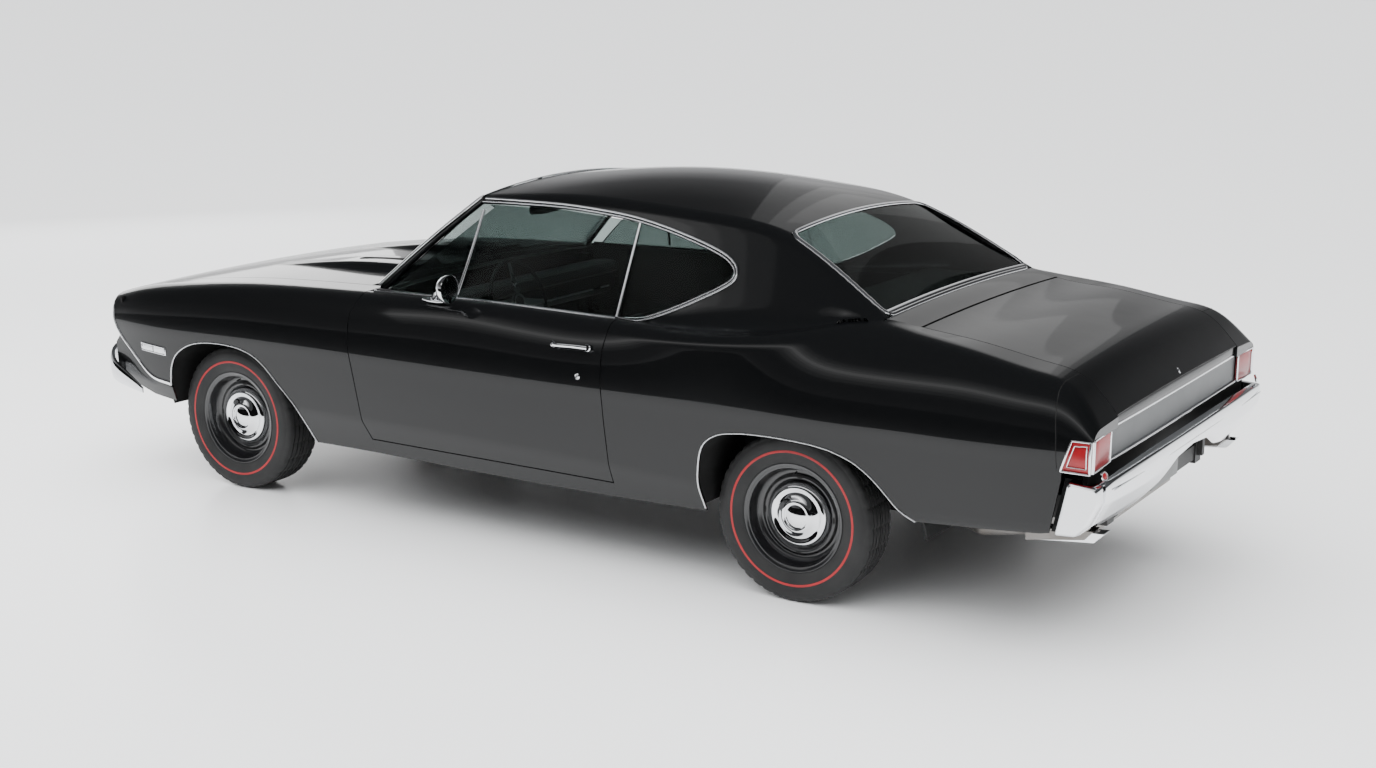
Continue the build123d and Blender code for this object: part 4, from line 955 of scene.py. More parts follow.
for y, inset in ((899, 0), (925, 0), (938, 2), (946, 6), (950, 12)):
    pts = rounded(grown(END, -inset), 10, 5)
    end_rows.append([(x, y, z) for x, z in pts])
lofted("rear_bumper_ends", end_rows, chrome, "body", mirror=True, sharp=12)
# A dark sheet filling the gap between the bumper end and the quarter: painted shade.
lofted("rear_bumper_gap_painted_shade", [[(-2262, y, 464), (-2298, y, 464), (-2338, y, 656), (-2303, y, 656)]
                           for y in (880, 896)], dark, "body",
       mirror=True)
bead("rear_bumper_groove", [(-2471.5 + 10 * (y / 860) ** 2, y, 631) for y in np.linspace(-860, 860, 60)],
     (-1, 0, 0), 5, 1.0, satin_chrome, "body")
for flip in (1, -1):
    tag = "left" if flip > 0 else "right"
    revolve("bumper_lamp_" + tag, [(0, 15), (5, 17), (8, 15), (8, 12), (6, 11), (9, 6), (10, 0)],
            (-2428, 884 * flip, 678), (-1, 0.35 * flip, 0.3),
            [chrome, red_lens], "body", segments=28, mats=[0, 0, 0, 0, 1, 1])

# Plate, exhaust tips
lofted("blank_plate", [[(-2358, y, 438), (-2358, y, 586), (-2355, y, 586), (-2355, y, 438)]
                       for y in (-151, -75, 0, 75, 151)], plate_grey,
       "body", ("rear_plate",), bevel=1.0)
for flip in (1, -1):
    tag = "left" if flip > 0 else "right"
    outer = [(-2135, 386, 429), (-2250, 400, 438), (-2372, 412, 448), (-2375, 412.5, 448.5)]
    rows = []
    for x, low, high in outer:
        lean = 34 if x < -2330 else 0
        rows.append([(x, 727 * flip, low), (x, 789 * flip, low), (x - lean, 789 * flip, high),
                     (x - lean, 727 * flip, high)])
    for x, low, high in ((-2373, 416, 444), (-2320, 411, 439)):
        lean = 30 if x < -2330 else 26
        rows.append([(x, 731 * flip, low), (x, 785 * flip, low), (x - lean, 785 * flip, high),
                     (x - lean, 731 * flip, high)])
    lofted("exhaust_tip_" + tag, rows, chrome, "body", caps=False, sharp=25)

# Hood bulges with a dark strip on top, painted shade standing in for a slot, and a bright bar at the back;
# cowl slots painted as dark strips, and wipers
def bulge(name, y0, flip):
    """A raised bulge of the hood with a dark strip on top, painted shade in place of a slot, and a bright
    bar at its back.
    """
    rows = []
    for x in np.linspace(1900, 962, 46):
        f = min(max((1900 - x) / 760, 0), 1)
        half, rise = 62 + 74 * f, 34 * (f * f * (3 - 2 * f)) + 0.2
        row = []
        for v in np.linspace(-1, 1, 25):
            y = y0 * flip + v * half
            q, _ = deck.at([x], [deck.across(x, y)])
            k = min(max((1 - abs(v)) / 0.30, 0), 1)
            row.append((x, y, q[0][2] - 0.8 + rise * k * k * (3 - 2 * k)))
        rows.append(row)
    last = rows[-1]
    rows.append([(957, y, z - 2) for x, y, z in last])
    rows.append([(954, y, min(z - 6, deck.at([955], [deck.across(955, y)])[0][0][2] + (z - 986) * 0.5))
                 for x, y, z in last])
    rows.append([(953, y, deck.at([953], [deck.across(953, y)])[0][0][2] - 2) for x, y, z in last])
    lofted(name, rows, paint, "hood", closed=False, caps=False, sharp=60)
    top = last[6:19]
    bead(name + "_bar", [(958, y, z - 3) for x, y, z in top], (-0.5, 0, 0.85), 18, 6, chrome, "hood")
    # The slot is only a dark strip laid on the bulge: painted shade for the opening.
    slot = [(x, y0 * flip + (f * 20 - 34) * flip, deck.at([x], [deck.across(x, y0 * flip)])[0][0][2] + h)
            for x, f, h in [(1330, 1.0, 30.5), (1270, 1.0, 32), (1180, 1.0, 33.5), (1090, 1.0, 34),
                            (985, 1.0, 34)]]
    bead(name + "_slot", smooth_rows(slot, 6), (0, 0, 1), 44, 1.2, dark, "hood", sink=2.0)


bulge("hood_bulge_left", 300, 1)
bulge("hood_bulge_right", 300, -1)
# Dark strips on the cowl stand in for the shade inside its vent slots: painted shade.
for i, x in enumerate((870, 876, 882, 888)):
    line = [(x, y, 944 - 14 * (y / 700) ** 2) for y in np.linspace(-620, 620, 30)]
    bead("cowl_slot_%d" % i, line, (0, 0, 1), 3.2, 1.0, dark, "body", sink=0.5)
for tag, y0, y1 in (("left", 120, 560), ("right", -520, -80)):
    arm = [(842, y0, 997), (838, (y0 * 2 + y1) / 3, 1003), (832, (y0 + y1 * 2) / 3, 1010), (822, y1, 1013)]
    pipe("wiper_arm_" + tag, smooth_rows(arm, 5), 3.2, satin_chrome, "body", sides=10)
    pipe("wiper_blade_" + tag,
         smooth_rows([(831, y0 - 40, 1008), (830, (y0 + y1) / 2, 1017), (818, y1 - 40, 1020)], 6), 4.0,
         dark, "body", sides=8)

# Door handles, locks, mirror
for tag, flip in (("left", 1), ("right", -1)):
    door = "door_" + tag
    bar = [(-372, 927, 884), (-350, 934, 886), (-280, 937, 885), (-225, 935, 882), (-205, 927, 880)]
    bars = smooth_rows([(x, y * flip, z) for x, y, z in bar], 6)
    lofted("handle_grip_" + tag, [[(x, y, z - 7), (x, y + 3 * flip, z - 4), (x, y + 3 * flip, z + 4),
                                   (x, y, z + 7), (x, y - 5 * flip, z + 4),
                                   (x, y - 5 * flip, z - 4)] for x, y, z in bars], chrome, door,
           ("door_trim_" + tag,), sharp=50)
    revolve("handle_button_" + tag, [(-6, 13), (0, 13), (3, 11), (3, 8), (6, 7), (7, 4), (7, 0)],
            (-213, 927 * flip, 881), (0, flip, 0.1), chrome, door, segments=28)
    revolve("handle_foot_" + tag, [(-8, 15), (0, 15), (3, 12), (4, 0)], (-372, 923 * flip, 884),
            (0, flip, 0.1), chrome, door, segments=28)
    revolve("door_lock_" + tag, [(-3, 12), (1, 12), (3, 9), (2, 7), (3.5, 5), (3.5, 0)],
            (-336, 939.5 * flip, 771), (0, flip, 0), chrome, door, segments=28)
head = [(352, 8, 8), (349, 24, 24), (341, 40, 40), (328, 52, 52), (312, 58, 58), (302, 59, 59),
        (300, 57, 57), (302, 53, 53)]
lofted("mirror_head", [[(x, 920.5 + w * math.cos(a), 1046 + h * math.sin(a))
                        for a in np.linspace(0, 2 * math.pi, 36, endpoint=False)]
                       for x, w, h in head], chrome, "door_left", sharp=50)
pipe("mirror_stalk", smooth_rows([(430, 866, 986), (410, 884, 1000), (370, 910, 1024), (332, 926, 1040)],
                                 6),
     list(np.linspace(15, 7, 19)), chrome, "door_left")
lofted("mirror_foot", [[(x, 868 + w * math.cos(a), 981 + h * math.sin(a))
                        for a in np.linspace(0, 2 * math.pi, 20, endpoint=False)]
                       for x, w, h in ((492, 2, 1), (480, 10, 6), (440, 18, 11), (400, 17, 10), (370, 8, 5),
                                       (355, 2, 1))], chrome,
       "door_left", sharp=60)
revolve("trunk_lock", [(-3, 13), (2, 13), (4, 10), (3, 7), (5, 5), (5, 0)], (-2383, 0, 868), (-0.8, 0, 0.6),
        chrome, "trunk_lid", segments=28)

# Tyres with grooved and notched treads and a red line, wheels, caps and drums
TYRE_SIDE = [(82, 190.3), (83.5, 206), (88, 211), (91, 216), (95.5, 228), (99, 240), (100.6, 250),
             (101.2, 251.5), (101.7, 258.5), (101.2, 260), (102.2, 266), (102.2, 276), (100.8, 288),
             (98, 299), (95.2, 302), (94.8, 306), (92, 312), (86, 318.5), (80, 321.5)]
TREAD = [(64, 323), (63, 315), (57, 315), (56, 323.4), (38, 323.7), (37, 315.5), (31, 315.5), (30, 323.8),
         (12, 324), (11, 315.5), (5, 315.5), (4, 324)]
half_tyre = TYRE_SIDE + TREAD
TYRE_ROWS = half_tyre + [(-a, b) for a, b in half_tyre[::-1]]
RED = (7, 8)
RIM_ROWS = [(83, 190), (84.5, 205), (87, 208), (88.8, 207), (88.5, 202), (85, 196), (80, 189), (62, 185.5),
            (42, 182), (33, 177), (27, 170), (24, 163), (25, 158), (30, 154.5), (34, 150), (35.5, 145),
            (34, 139), (28, 134), (23, 130), (21, 122), (21, 40), (14, 40), (14, 126), (12, 150), (10, 168),
            (0, 172), (-50, 172), (-58, 188), (-84, 188), (-88, 202), (-88, 208), (-84, 208), (-83, 190),
            (-58, 192), (-50, 174), (18, 174), (32, 192), (83, 190)]
CAP_ROWS = [(20, 122.5), (27, 124.5), (36, 123.5), (45, 119.5), (51, 113), (53, 106), (51.5, 100), (48, 95),
            (46.5, 89), (49, 82), (54, 73), (60, 65), (64.5, 59), (66, 54), (65, 50), (60.5, 47.5),
            (60, 44), (63.5, 36), (67, 26), (69.5, 14), (70.5, 0)]
DRUM_ROWS = [(-20, 30), (-20, 120), (-14, 125), (8, 125), (11, 118), (11, 40), (5, 30), (-20, 30)]
FRONT_AXLE, REAR_AXLE, TRACK_HALF, WHEEL_RADIUS, TREAD_BLOCKS = 1610, -1235, 750, 324, 168
for tag, x, flip in (("fl", FRONT_AXLE, 1), ("fr", FRONT_AXLE, -1), ("rl", REAR_AXLE, 1),
                     ("rr", REAR_AXLE, -1)):
    centre, axis, body = (x, TRACK_HALF * flip, WHEEL_RADIUS), (0, flip, 0), "wheel_" + tag
    revolve("tyre_skin_" + tag, TYRE_ROWS, centre, axis, [rubber, red_line], body,
            ("tyre_" + tag,), TREAD_BLOCKS,
            mats=[1 if i in RED else 0 for i in range(len(TYRE_ROWS))], notch=True)
    revolve("rim_" + tag, RIM_ROWS, centre, axis, wheel_black, body, ("wheel_" + tag,), 120,
            sharp=40)
    revolve("hub_cap_" + tag, CAP_ROWS, centre, axis, chrome, body, (), 96, sharp=28)
    revolve("brake_drum_" + tag, DRUM_ROWS, centre, axis, iron_dark, body, (), 64)
    c = np.array(centre, float)
    # Dark oval plugs in the rim stand in for the shade seen through its slots: painted shade.
    for k in (0, 3, 6, 9):
        a = 2 * math.pi * k / 12
        at = c + np.array([math.cos(a) * 145, 31.5 * flip, math.sin(a) * 145])
        along = np.array([-math.sin(a), 0, math.cos(a)])
        outward = np.array([math.cos(a), 0, math.sin(a)])
        ring = [at + along * u * 13 + outward * v * 4.2 for u, v in oval]
        ring2 = [q + np.array([0, 4.3 * flip, 0]) for q in ring]
        lofted("rim_slot_%s_%d" % (tag, k), [ring, ring2], dark, body)
    pipe("valve_" + tag, [c + np.array([0, 60 * flip, 172]), c + np.array([0, 82 * flip, 168])], 3.5, dark,
         body, sides=10)

# Front end
blade_front = []
for x, y, z, heading, thick, height in [(2452, 0, 520, 90, 40, 140), (2452, 300, 520, 90, 40, 140),
                                        (2450, 560, 520, 92, 38, 138),
                                        (2428, 760, 513, 106, 34, 130), (2380, 862, 498, 132, 26, 116),
                                        (2320, 908, 478, 154, 20, 98),
                                        (2210, 922, 438, 171, 13, 64), (2118, 926, 404, 175, 6, 26)]:
    a = math.radians(heading)
    out_dir = np.array([math.sin(a), -math.cos(a), 0])
    t, h = thick / 2, height / 2
    shape = [(-t, -h * 0.9), (t * 0.35, -h), (t * 0.8, -h * 0.62), (t, -h * 0.05), (t * 0.86, h * 0.1),
             (t, h * 0.3), (t * 0.75, h * 0.8), (t * 0.2, h), (-t, h * 0.92)]
    blade_front.append([np.array([x, y, z]) + out_dir * u + np.array([0, 0, v]) for u, v in shape])
lofted("front_bumper_blade", smooth_rows(blade_front, 7), chrome, "body",
       ("front_bumper",), mirror=True, sharp=35)
valence = trace(side, [(1934, 372), (1934, 439), (2074, 463), (2192, 549), (2296, 636), (2333, 600),
                       (2333, 500), (2240, 425), (2085, 383)],
                lambda x: 0.0)
put_panel("front_valence_skin_left", panel(side, valence, lip=0.8), paint, "body", ("front_valence",),
          "front_valence_skin_right", "body")
apron = [[(2372 - (abs(y) / 780) ** 4 * 26, y, 402), (2372 - (abs(y) / 780) ** 4 * 26, y, 598),
          (2386 - (abs(y) / 780) ** 4 * 26, y, 598),
          (2386 - (abs(y) / 780) ** 4 * 26, y, 404)] for y in np.linspace(-780, 780, 31)]
lofted("front_apron", apron, paint, "body", bevel=3)
# Dark boxes on the apron stand in for the shade inside its openings: painted shade.
for y in (-560, -370, 370, 560):
    lofted("apron_slot_%d" % y,
           [[(2387, y - 60, z), (2389, y - 60, z), (2389, y + 60, z), (2387, y + 60, z)]
            for z in (440, 462)], dark,
           "body")
for flip in (1, -1):
    lofted("front_bumper_iron_%d" % flip,
           [[(x, flip * 370 - 18, 492), (x, flip * 370 + 18, 492), (x, flip * 370 + 18, 548),
             (x, flip * 370 - 18, 548)] for x in (2386, 2432)], under,
           "body", bevel=3)
for tag, flip in (("left", 1), ("right", -1)):
    for i, y in enumerate((560, 725)):
        revolve("headlamp_ring_%s_%d" % (tag, i), [(-2, 70), (-2, 78), (22, 78), (30, 76), (33, 72),
                                                   (31, 68), (24, 67), (18, 66), (-2, 66),
                                                   (-2, 70)], (2308, y * flip, 712), (1, 0, 0), chrome,
                "body", ("headlamps",) if tag == "left" and i == 0 else (), 72, sharp=40)
        revolve("headlamp_lens_%s_%d" % (tag, i), [(4, 66), (16, 66), (24, 58), (30, 42), (34, 22),
                                                   (36, 0)], (2308, y * flip, 712), (1, 0, 0),
                clear_lens, "body", (), 64)
bars = [(2330 - 4 * (abs(y) / 470) ** 3, y) for y in np.linspace(-470, 470, 24)]
for i, z in enumerate(range(640, 801, 16)):
    bead("grille_bar_%d" % i, [(x - 2, y, z) for x, y in bars], (1, 0, 0), 6, 10 if i % 5 else 14,
         satin_chrome if i % 5 else chrome, "body", sink=6)
rows = [(x, y, z) for x, y, z in [(2324, y, 630) for y in np.linspace(-815, 815, 50)]
        + [(2324, y, 806) for y in np.linspace(815, -815, 50)]]
bead("grille_frame", rows, (1, 0, 0), 14, 9, chrome, "body", closed=True)
# Dark backing that shows between the grille bars: the black of the grille insert, and painted shade for the
# space behind the bars.
lofted("grille_back", [[(2297, y, 535), (2297, y, 812), (2308, y, 812), (2308, y, 535)]
                       for y in np.linspace(-860, 860, 20)], dark, "body",
       ("grille",), bevel=2)
for i, y in enumerate(range(-450, 451, 60)):
    lofted("grille_stay_%d" % i, [[(2308, y - 2, z), (2322, y - 2, z), (2322, y + 2, z), (2308, y + 2, z)]
                                  for z in (632, 804)], under, "body")

# Dash, steering wheel, console and mirror
DASH = [(846, 878), (800, 898), (740, 915), (680, 924), (628, 926), (603, 918), (590, 900), (594, 880),
        (612, 866), (618, 800), (640, 770), (700, 748), (846, 748)]
lofted("dashboard_pad", [[(x - 8 * (abs(y) / 690) ** 4, y, z) for x, z in DASH]
                         for y in np.linspace(-688, 688, 24)], vinyl, "body",
       ("dashboard",), sharp=35)
lofted("dash_face", [[(611, y, 800), (608, y, 862), (614, y, 862), (617, y, 800)]
                     for y in np.linspace(-640, 640, 20)], plastic, "body")
for i, (y, z, size) in enumerate(((440, 838, 40), (300, 838, 40), (370, 848, 24), (515, 833, 18))):
    revolve("dial_%d" % i, [(0, size), (5, size), (7, size * 0.92), (3, size * 0.88), (3, 0)], (608, y, z),
            (-1, 0, 0.05), [satin_chrome, panel_grey], "body", (), 40, mats=[0, 0, 0, 1, 1])
bead("dash_strip", [(605, y, 806) for y in np.linspace(-640, 250, 30)], (-1, 0, 0), 9, 4, satin_chrome,
     "body")
lofted("glovebox_door", [[(606, y, 812), (605, y, 856), (609, y, 856), (610, y, 812)]
                         for y in (-560, -400, -240)], plastic, "body",
       bevel=1.5)
pipe("steering_column", [(700, 370, 800), (540, 370, 850), (400, 370, 894)], [30, 27, 22], plastic, "body")
wheel_axis = np.array([-320, 0, 100]) / np.linalg.norm([-320, 0, 100])
wheel_up = unit(np.cross(wheel_axis, (0, 1, 0)))
hub = np.array([380, 370, 900]) + wheel_axis * 7
rim_line = [hub + (np.array([0, 1, 0]) * math.cos(a) + wheel_up * math.sin(a)) * 181
            for a in np.linspace(0, 2 * math.pi, 72, endpoint=False)]
tube_rows = []
for i, q in enumerate(rim_line + rim_line[:1]):
    outward = unit(q - hub)
    grip = 8.2 + 0.5 * math.cos(i * math.pi * 0.5)
    tube_rows.append([q + outward * math.cos(b) * grip + wheel_axis * math.sin(b) * 8.0
                      for b in np.linspace(0, 2 * math.pi, 14, endpoint=False)])
lofted("steering_wheel_rim", tube_rows, plastic, "steering_wheel", ("steering_wheel",),
       caps=False)
for k, a in enumerate((0.12, math.pi - 0.12, -math.pi / 2)):
    arm = np.array([0, 1, 0]) * math.cos(a) + wheel_up * math.sin(a)
    across_arm = np.cross(wheel_axis, arm)
    rows = [[hub + arm * s + across_arm * w + wheel_axis * t,
             hub + arm * s - across_arm * w + wheel_axis * t,
             hub + arm * s - across_arm * w * 0.8 + wheel_axis * (t - 4),
             hub + arm * s + across_arm * w * 0.8 + wheel_axis * (t - 4)]
            for s, w, t in ((30, 19, 4), (80, 14, 3), (130, 11, 2), (178, 9, 1))]
    lofted("steering_spoke_%d" % k, smooth_rows(rows, 3), satin_chrome, "steering_wheel",
           sharp=40)
revolve("horn_button", [(-6, 42), (2, 42), (7, 38), (9, 30), (6, 27), (9, 18), (10, 0)], hub, wheel_axis,
        [plastic, satin_chrome], "steering_wheel", (), 48, mats=[0, 0, 1, 1, 0, 0, 0])
CONSOLE_TOP = ((520, 560), (420, 556), (200, 540), (-60, 545), (-180, 600), (-240, 604))
lofted("console", [[(x, -85, 484), (x, -80, z), (x, 80, z), (x, 85, 484)] for x, z in CONSOLE_TOP], plastic,
       "body", bevel=6)
pipe("shift_lever", smooth_rows([(300, 0, 545), (285, 0, 620), (262, 0, 690), (255, 0, 705)], 5), 6, chrome,
     "body")
revolve("shift_knob", [(-16, 6), (-12, 14), (0, 20), (12, 17), (19, 8), (21, 0)], (252, 0, 716), (0, 0, 1),
        plastic, "body")
lofted("inside_mirror", [[(500 - d, y, 1262 - h), (500 - d, y, 1262 + h), (506, y, 1262 + h),
                          (506, y, 1262 - h)]
                         for y, d, h in ((-115, 3, 14), (-100, 6, 24), (0, 8, 28), (100, 6, 24),
                                         (115, 3, 14))], plastic, "body",
       bevel=3)
pipe("inside_mirror_stem", [(506, 0, 1270), (470, 0, 1330), (455, 0, 1362)], 6, satin_chrome, "body")
pipe("column_stalk", smooth_rows([(430, 392, 884), (425, 450, 905), (420, 520, 915)], 5), 4, chrome, "body")
for i, (x, y) in enumerate(((740, 470), (740, 300), (730, 180))):
    lofted("pedal_%d" % i, [[(x, y - 22, 470), (x, y + 22, 470), (x - 14, y + 22, 395),
                             (x - 14, y - 22, 395)],
                            [(x + 7, y - 22, 472), (x + 7, y + 22, 472), (x - 7, y + 22, 397),
                             (x - 7, y - 22, 397)]], dark, "body",
           bevel=2)
lofted("floor_carpet", [[(x, -700, 346), (x, -180, 346), (x, -138, 486), (x, 138, 486), (x, 180, 346),
                         (x, 700, 346), (x, 700, 342),
                         (x, 180, 342), (x, 138, 482), (x, -138, 482), (x, -180, 342), (x, -700, 342)]
                        for x in (-535, 200, 843)], carpet, "body")

# Seats: padded cushions blown up by a cloth simulation, with sewn channels, on dark bases
def seat_block(outline, y0, y1, radius):
    """Closed rounded block through a side outline of x, z between two distances from the middle."""
    rings = []
    for y, inset in ((y0, radius), (y0 + radius * 0.3, radius * 0.3), (y0 + radius, 0), (y1 - radius, 0),
                     (y1 - radius * 0.3, radius * 0.3), (y1, radius)):
        rings.append([(x, y, z) for x, z in rounded(grown(outline, -inset), 26, 6)])
    return rings


CHANNEL_DEPTH, SEAM_DEPTH = 0.007, 0.006
CLOTH_FRAMES, CLOTH_REACH = 20, 0.022


def settle(objects):
    """The evaluated meshes take the place of the objects' modifiers."""
    graph = bpy.context.evaluated_depsgraph_get()
    made = [bpy.data.meshes.new_from_object(obj.evaluated_get(graph)) for obj in objects]
    for obj, data in zip(objects, made):
        mats = list(obj.data.materials)
        obj.modifiers.clear()
        obj.data = data
        data.materials.clear()
        for m in mats:
            data.materials.append(m)


def points_of(obj):
    """The object's points as an array."""
    return np.array([v.co[:] for v in obj.data.vertices])


def blow_up(objects):
    """Inflates closed forms as cloth, all in one run of frames, and returns where their points went."""
    for obj in objects:
        remesh = obj.modifiers.new("remesh", "REMESH")
        remesh.mode, remesh.voxel_size, remesh.use_smooth_shade = "VOXEL", 0.006, True
    settle(objects)
    starts = [points_of(obj) for obj in objects]
    for obj in objects:
        cloth = obj.modifiers.new("cloth", "CLOTH")
        cloth.settings.use_pressure = True
        cloth.settings.uniform_pressure_force = 4.0
        cloth.settings.effector_weights.gravity = 0.0
        cloth.settings.tension_stiffness = 25.0
        cloth.settings.compression_stiffness = 25.0
        cloth.settings.quality = 3
        cloth.point_cache.frame_start, cloth.point_cache.frame_end = 1, CLOTH_FRAMES
    for step in range(1, CLOTH_FRAMES + 1):
        bpy.context.scene.frame_set(step)
    settle(objects)
    bpy.context.scene.frame_set(1)
    out = []
    for obj, start in zip(objects, starts):
        moved = points_of(obj) - start
        far = np.linalg.norm(moved, axis=1, keepdims=True)
        out.append((start, start + moved * np.minimum(1, CLOTH_REACH / np.maximum(far, 1e-9))))
    return out


def sew(obj, start, now, y0, y1, channels):
    """Presses sewn channels into a cushion; channels holds their spacing, their way and their face."""
    slack = np.array([0.012, 0.010, 0.012])
    now = np.clip(now, start.min(0) - slack, start.max(0) + slack)
    middle, half = (y0 + y1) / 2 * MM, (y1 - y0) * 0.5 * MM
    spacing, way, facing = channels
    lean, facing = np.array([unit(way)[0], 0, unit(way)[1]]), np.array([facing[0], 0, facing[1]])
    for v, q in zip(obj.data.vertices, now):
        n = np.array(v.normal)
        along = q @ lean
        reach = abs(q[1] - middle)
        if abs(n @ facing) > 0.6 and reach < half - 0.055:
            k = (along / (spacing * MM)) % 1.0
            d = min(k, 1 - k) * spacing
            q = q - n * CHANNEL_DEPTH * math.exp(-(d / 6.0) ** 2)
        d = abs(reach - (half - 0.052)) * 1000
        v.co = q - n * SEAM_DEPTH * math.exp(-(d / 5.0) ** 2)
    obj.data.update()
    for poly in obj.data.polygons:
        poly.use_smooth = True


def mirrored_cushion(obj, name):
    """A cushion's mirror image on the car's other side."""
    data = obj.data.copy()
    data.name = name
    work = bmesh.new()
    work.from_mesh(data)
    for v in work.verts:
        v.co.y = -v.co.y
    bmesh.ops.reverse_faces(work, faces=work.faces)
    work.to_mesh(data)
    work.free()
    place(name, data, None, "body")


FRONT_CUSHION = [(318, 405), (318, 505), (-120, 488), (-150, 405)]
FRONT_BACK = [(-128, 500), (-285, 935), (-330, 950), (-375, 940), (-262, 430), (-150, 430)]
REAR_CUSHION = [(-462, 590), (-470, 676), (-860, 686), (-890, 590)]
REAR_BACK = [(-895, 700), (-1040, 995), (-1095, 998), (-990, 640), (-900, 630)]
CUSHIONS = (
    ("front_cushion", FRONT_CUSHION, 195, 615, (48, (1, 0), (0, 1)), ("front_seats",)),
    ("front_back", FRONT_BACK, 195, 615, (50, (-0.33, 0.94), (0.94, 0.33)), ()),
    ("rear_cushion", REAR_CUSHION, 6, 572, (50, (1, 0), (0, 1)), ("rear_seat",)),
    ("rear_back", REAR_BACK, 6, 572, (50, (-0.43, 0.9), (0.9, 0.43)), ()),
)
blocks = [lofted(name + "_left", seat_block(outline, y0, y1, 22), vinyl, "body", stands,
                 sharp=80) for name, outline, y0, y1, _, stands in CUSHIONS]
for block, shapes, (name, _, y0, y1, channels, _) in zip(blocks, blow_up(blocks), CUSHIONS):
    sew(block, *shapes, y0, y1, channels)
    mirrored_cushion(block, name + "_right")
lofted("seat_bases", [[(x, y, z) for x, z in ((300, 344), (305, 402), (-150, 402), (-175, 344))]
                      for y in (200, 610)], plastic, "body",
       mirror=True, bevel=6)
lofted("rear_seat_base", [[(x, y, z) for x, z in ((-532, 505), (-470, 590), (-900, 590), (-985, 574),
                                                  (-532, 574))] for y in (-575, 575)],
       carpet, "body", bevel=6)
lofted("rear_seat_wall", [[(x, y, z) for x, z in ((-992, 578), (-1000, 640), (-1112, 1004), (-1118, 1004),
                                                  (-1004, 578))] for y in (-580, 580)],
       under, "body", bevel=4)


# Wheel housings and the dark inside of the nose and tail; the housings are near-black, partly their own
# black and partly painted shade in the wells
def housing(name, outline, y_inner):
    """Both wheel housings of an axle, each with the wall at its inner side."""
    line = [p for p in dense(outline, 25.0, closed=False) if p[1] >= 334]
    outer = grown_line(line, 8.0)
    rows = []
    for (x, z), (x2, z2) in zip(line, outer):
        y = side.at([x], [side.down(x, z)])[0][0][1] - 16
        rows.append([(x, y_inner, z), (x, y, z), (x2, y, z2), (x2, y_inner, z2)])
    # Near-black housings: their own black, and painted shade deep in the wheel wells.
    lofted(name, rows, dark, "body", mirror=True, sharp=50)
    lofted(name + "_wall", [[(x, y, z) for x, z in outer] for y in (y_inner - 6, y_inner)], dark, "body",
           mirror=True)


housing("front_wheel_housings", [(1972, 250), (1972, 400), (1940, 560), (1860, 680), (1720, 715),
                                 (1500, 715), (1370, 690), (1250, 590), (1130, 450), (1045, 250)], 406)
housing("rear_wheel_housings", [(-1812, 250), (-1790, 420), (-1706, 474), (-1608, 582), (-1545, 621),
                                (-1452, 646), (-1320, 661), (-1105, 661), (-970, 640), (-915, 608),
                                (-885, 556), (-870, 453),
                                (-896, 250)], 601)
lofted("trunk_floor_lining",
       [[(x, y, z) for x, z in ((-1000, 576), (-1640, 576), (-1740, 506), (-2325, 506), (-2325, 502),
                                (-1742, 502), (-1642, 572), (-1000, 572))] for y in (-596, 596)],
       carpet, "body")

# CAD nodes that keep their shape
KEEP = {
    under: ("frame", "floor_pan", "rear_axle", "front_suspension", "knuckle_left", "knuckle_right",
            "steering_linkage"),
    paint: ("cowl",), steel: ("exhaust", "fuel_tank"), iron: ("engine_block",),
    glass: ("windshield", "backlight", "door_glass_left", "door_glass_right", "quarter_windows"),
}
for finish, names in KEEP.items():
    for node in names:
        node_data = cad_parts[node].data
        node_data.materials.clear()
        node_data.materials.append(finish)

# Studio: floor, soft light and the camera
def flat_plane(name, size, mat):
    """A square plane on the floor."""
    s = size / 2
    data = bpy.data.meshes.new(name)
    data.from_pydata([(-s, -s, 0), (s, -s, 0), (s, s, 0), (-s, s, 0)], [], [(0, 1, 2, 3)])
    data.materials.append(mat)
    obj = bpy.data.objects.new(name, data)
    bpy.context.scene.collection.objects.link(obj)
    return obj


floor_mat = material("studio_floor", (0.86, 0.87, 0.88), 0.30, vary=0.02, ior=1.35)
flat_plane("studio_floor", 240.0, floor_mat)
flag_mat = material("black_flag", (0.004, 0.004, 0.004), 0.9, spec=0.0, grain=("noise", 120.0, 0.3, 0.0005),
                    vary=0.1)
flag_mesh = bpy.data.meshes.new("black_flag")
flag_mesh.from_pydata([(-4.0, 3.7, 0.0), (14.0, 3.7, 0.0), (14.0, 3.7, 1.5), (-4.0, 3.7, 1.5)], [],
                      [(0, 1, 2, 3)])
flag_mesh.materials.append(flag_mat)
flag = bpy.data.objects.new("black_flag", flag_mesh)
bpy.context.scene.collection.objects.link(flag)
flag.visible_camera = flag.visible_diffuse = flag.visible_shadow = flag.visible_transmission = False


def lamp(name, where, aim, size, power, glossy=True):
    """A soft box that the camera doesn't see."""
    data = bpy.data.lights.new(name, "AREA")
    data.shape = "RECTANGLE"
    data.size, data.size_y = size
    data.energy = power
    obj = bpy.data.objects.new(name, data)
    bpy.context.scene.collection.objects.link(obj)
    obj.location = where
    obj.rotation_euler = (Vector(aim) - Vector(where)).to_track_quat("-Z", "Y").to_euler()
    obj.visible_camera = False
    obj.visible_glossy = glossy
    return obj


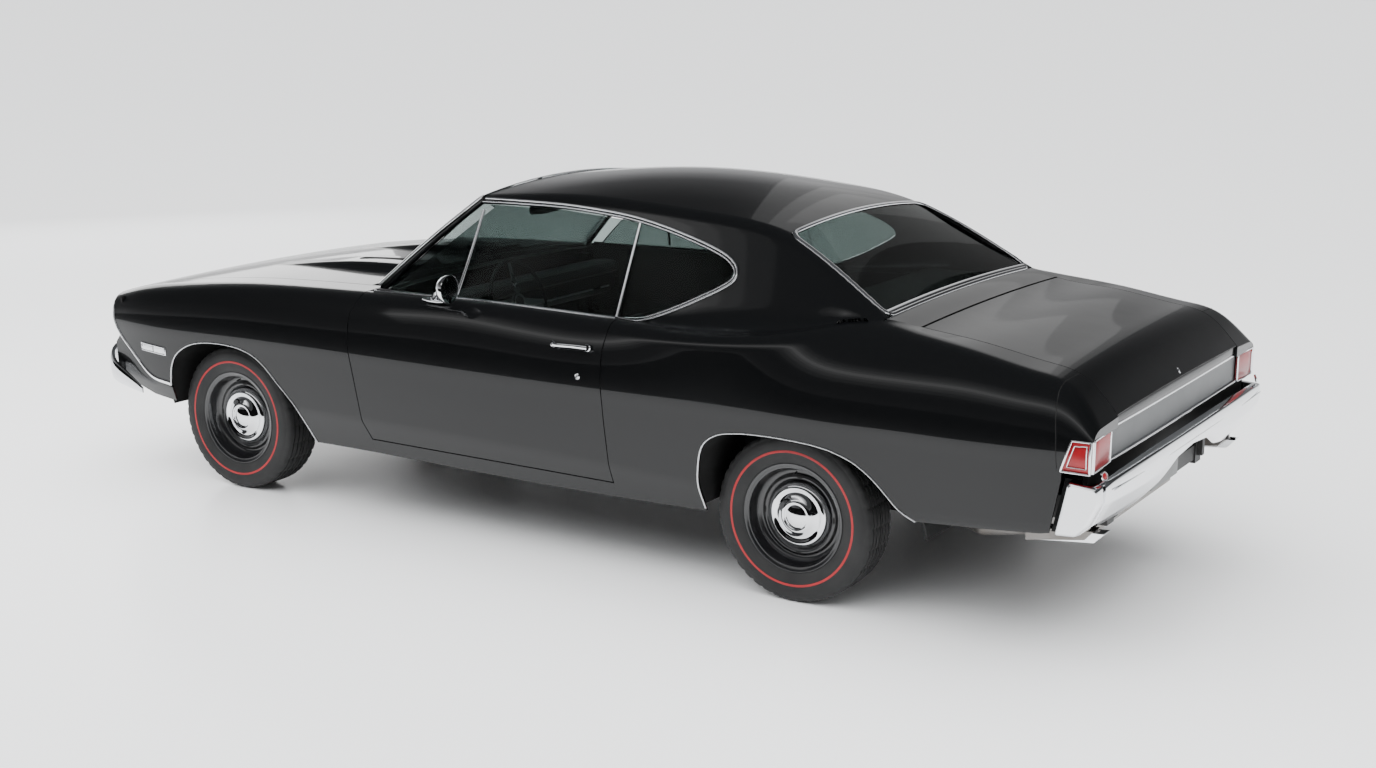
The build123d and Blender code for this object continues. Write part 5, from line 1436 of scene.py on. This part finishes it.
lamp("hood_box", (8.8, -4.6, 2.9), (1.9, 0.3, 0.9), (5.2, 3.4), 180)
for number, (height, watts) in enumerate(((0.4, 16), (1.0, 26), (1.8, 34), (2.8, 38))):
    lamp("side_box_%d" % number, (-1.5, 5.2 + 0.03 * number, 5.6), (-1.0, 0.9, 0.9), (17.0, height), watts)
for number, (width, height, watts) in enumerate(((1.6, 2.0, 2.6), (2.3, 2.9, 5.5), (3.1, 3.9, 9.5))):
    lamp("deck_box_%d" % number, (0.4, -5.2 - 0.03 * number, 3.7), (-1.8, 0.0, 1.0), (width, height), watts)
lamp("tail_box", (-7.0, 1.5, 3.0), (-2.2, 0, 0.8), (4.0, 2.0), 90, glossy=False)
sun = bpy.data.lights.new("soft_sky", "SUN")
sun.energy, sun.angle = 9.0, math.radians(110)
sun_obj = bpy.data.objects.new("soft_sky", sun)
bpy.context.scene.collection.objects.link(sun_obj)
sun_obj.rotation_euler = (math.radians(-8), math.radians(12), 0)
sun_obj.visible_glossy = False

world = bpy.data.worlds.new("studio")
bpy.context.scene.world = world
world.use_nodes = True
tree = world.node_tree
sky = tree.nodes["Background"]
coords = tree.nodes.new("ShaderNodeTexCoord")
split = tree.nodes.new("ShaderNodeSeparateXYZ")
ramp = tree.nodes.new("ShaderNodeValToRGB")
tree.links.new(coords.outputs["Generated"], split.inputs["Vector"])
tree.links.new(split.outputs["Z"], ramp.inputs["Fac"])
tree.links.new(ramp.outputs["Color"], sky.inputs["Color"])
marks = ramp.color_ramp.elements
marks[0].position, marks[0].color = 0.0, (0.80, 0.81, 0.82, 1)
marks[1].position, marks[1].color = 1.0, (0.10, 0.105, 0.11, 1)
for place_at, tone in ((0.10, 0.62), (0.24, 0.16), (0.42, 0.05)):
    mark = marks.new(place_at)
    mark.color = (tone, tone, tone * 1.02, 1)
sky.inputs["Strength"].default_value = 1.0

YAW, PITCH, ROLL = math.radians(-57.8347), math.radians(-12.8039), math.radians(0.2432)
d = np.array([math.cos(PITCH) * math.cos(YAW), math.cos(PITCH) * math.sin(YAW), math.sin(PITCH)])
r = unit(np.cross(d, (0, 0, 1)))
u = np.cross(r, d)
right = math.cos(ROLL) * r + math.sin(ROLL) * u
upward = -math.sin(ROLL) * r + math.cos(ROLL) * u
lens = bpy.data.cameras.new("photo_camera")
lens.lens, lens.sensor_width, lens.sensor_fit = 48.84, 36.0, "HORIZONTAL"
lens.clip_end = 500.0
camera = bpy.data.objects.new("photo_camera", lens)
bpy.context.scene.collection.objects.link(camera)
camera.matrix_world = Matrix([[right[0], upward[0], -d[0], -4.4322], [right[1], upward[1], -d[1], 6.6507],
                              [right[2], upward[2], -d[2], 2.3370], [0, 0, 0, 1]])
bpy.context.scene.camera = camera

bpy.context.view_layer.update()
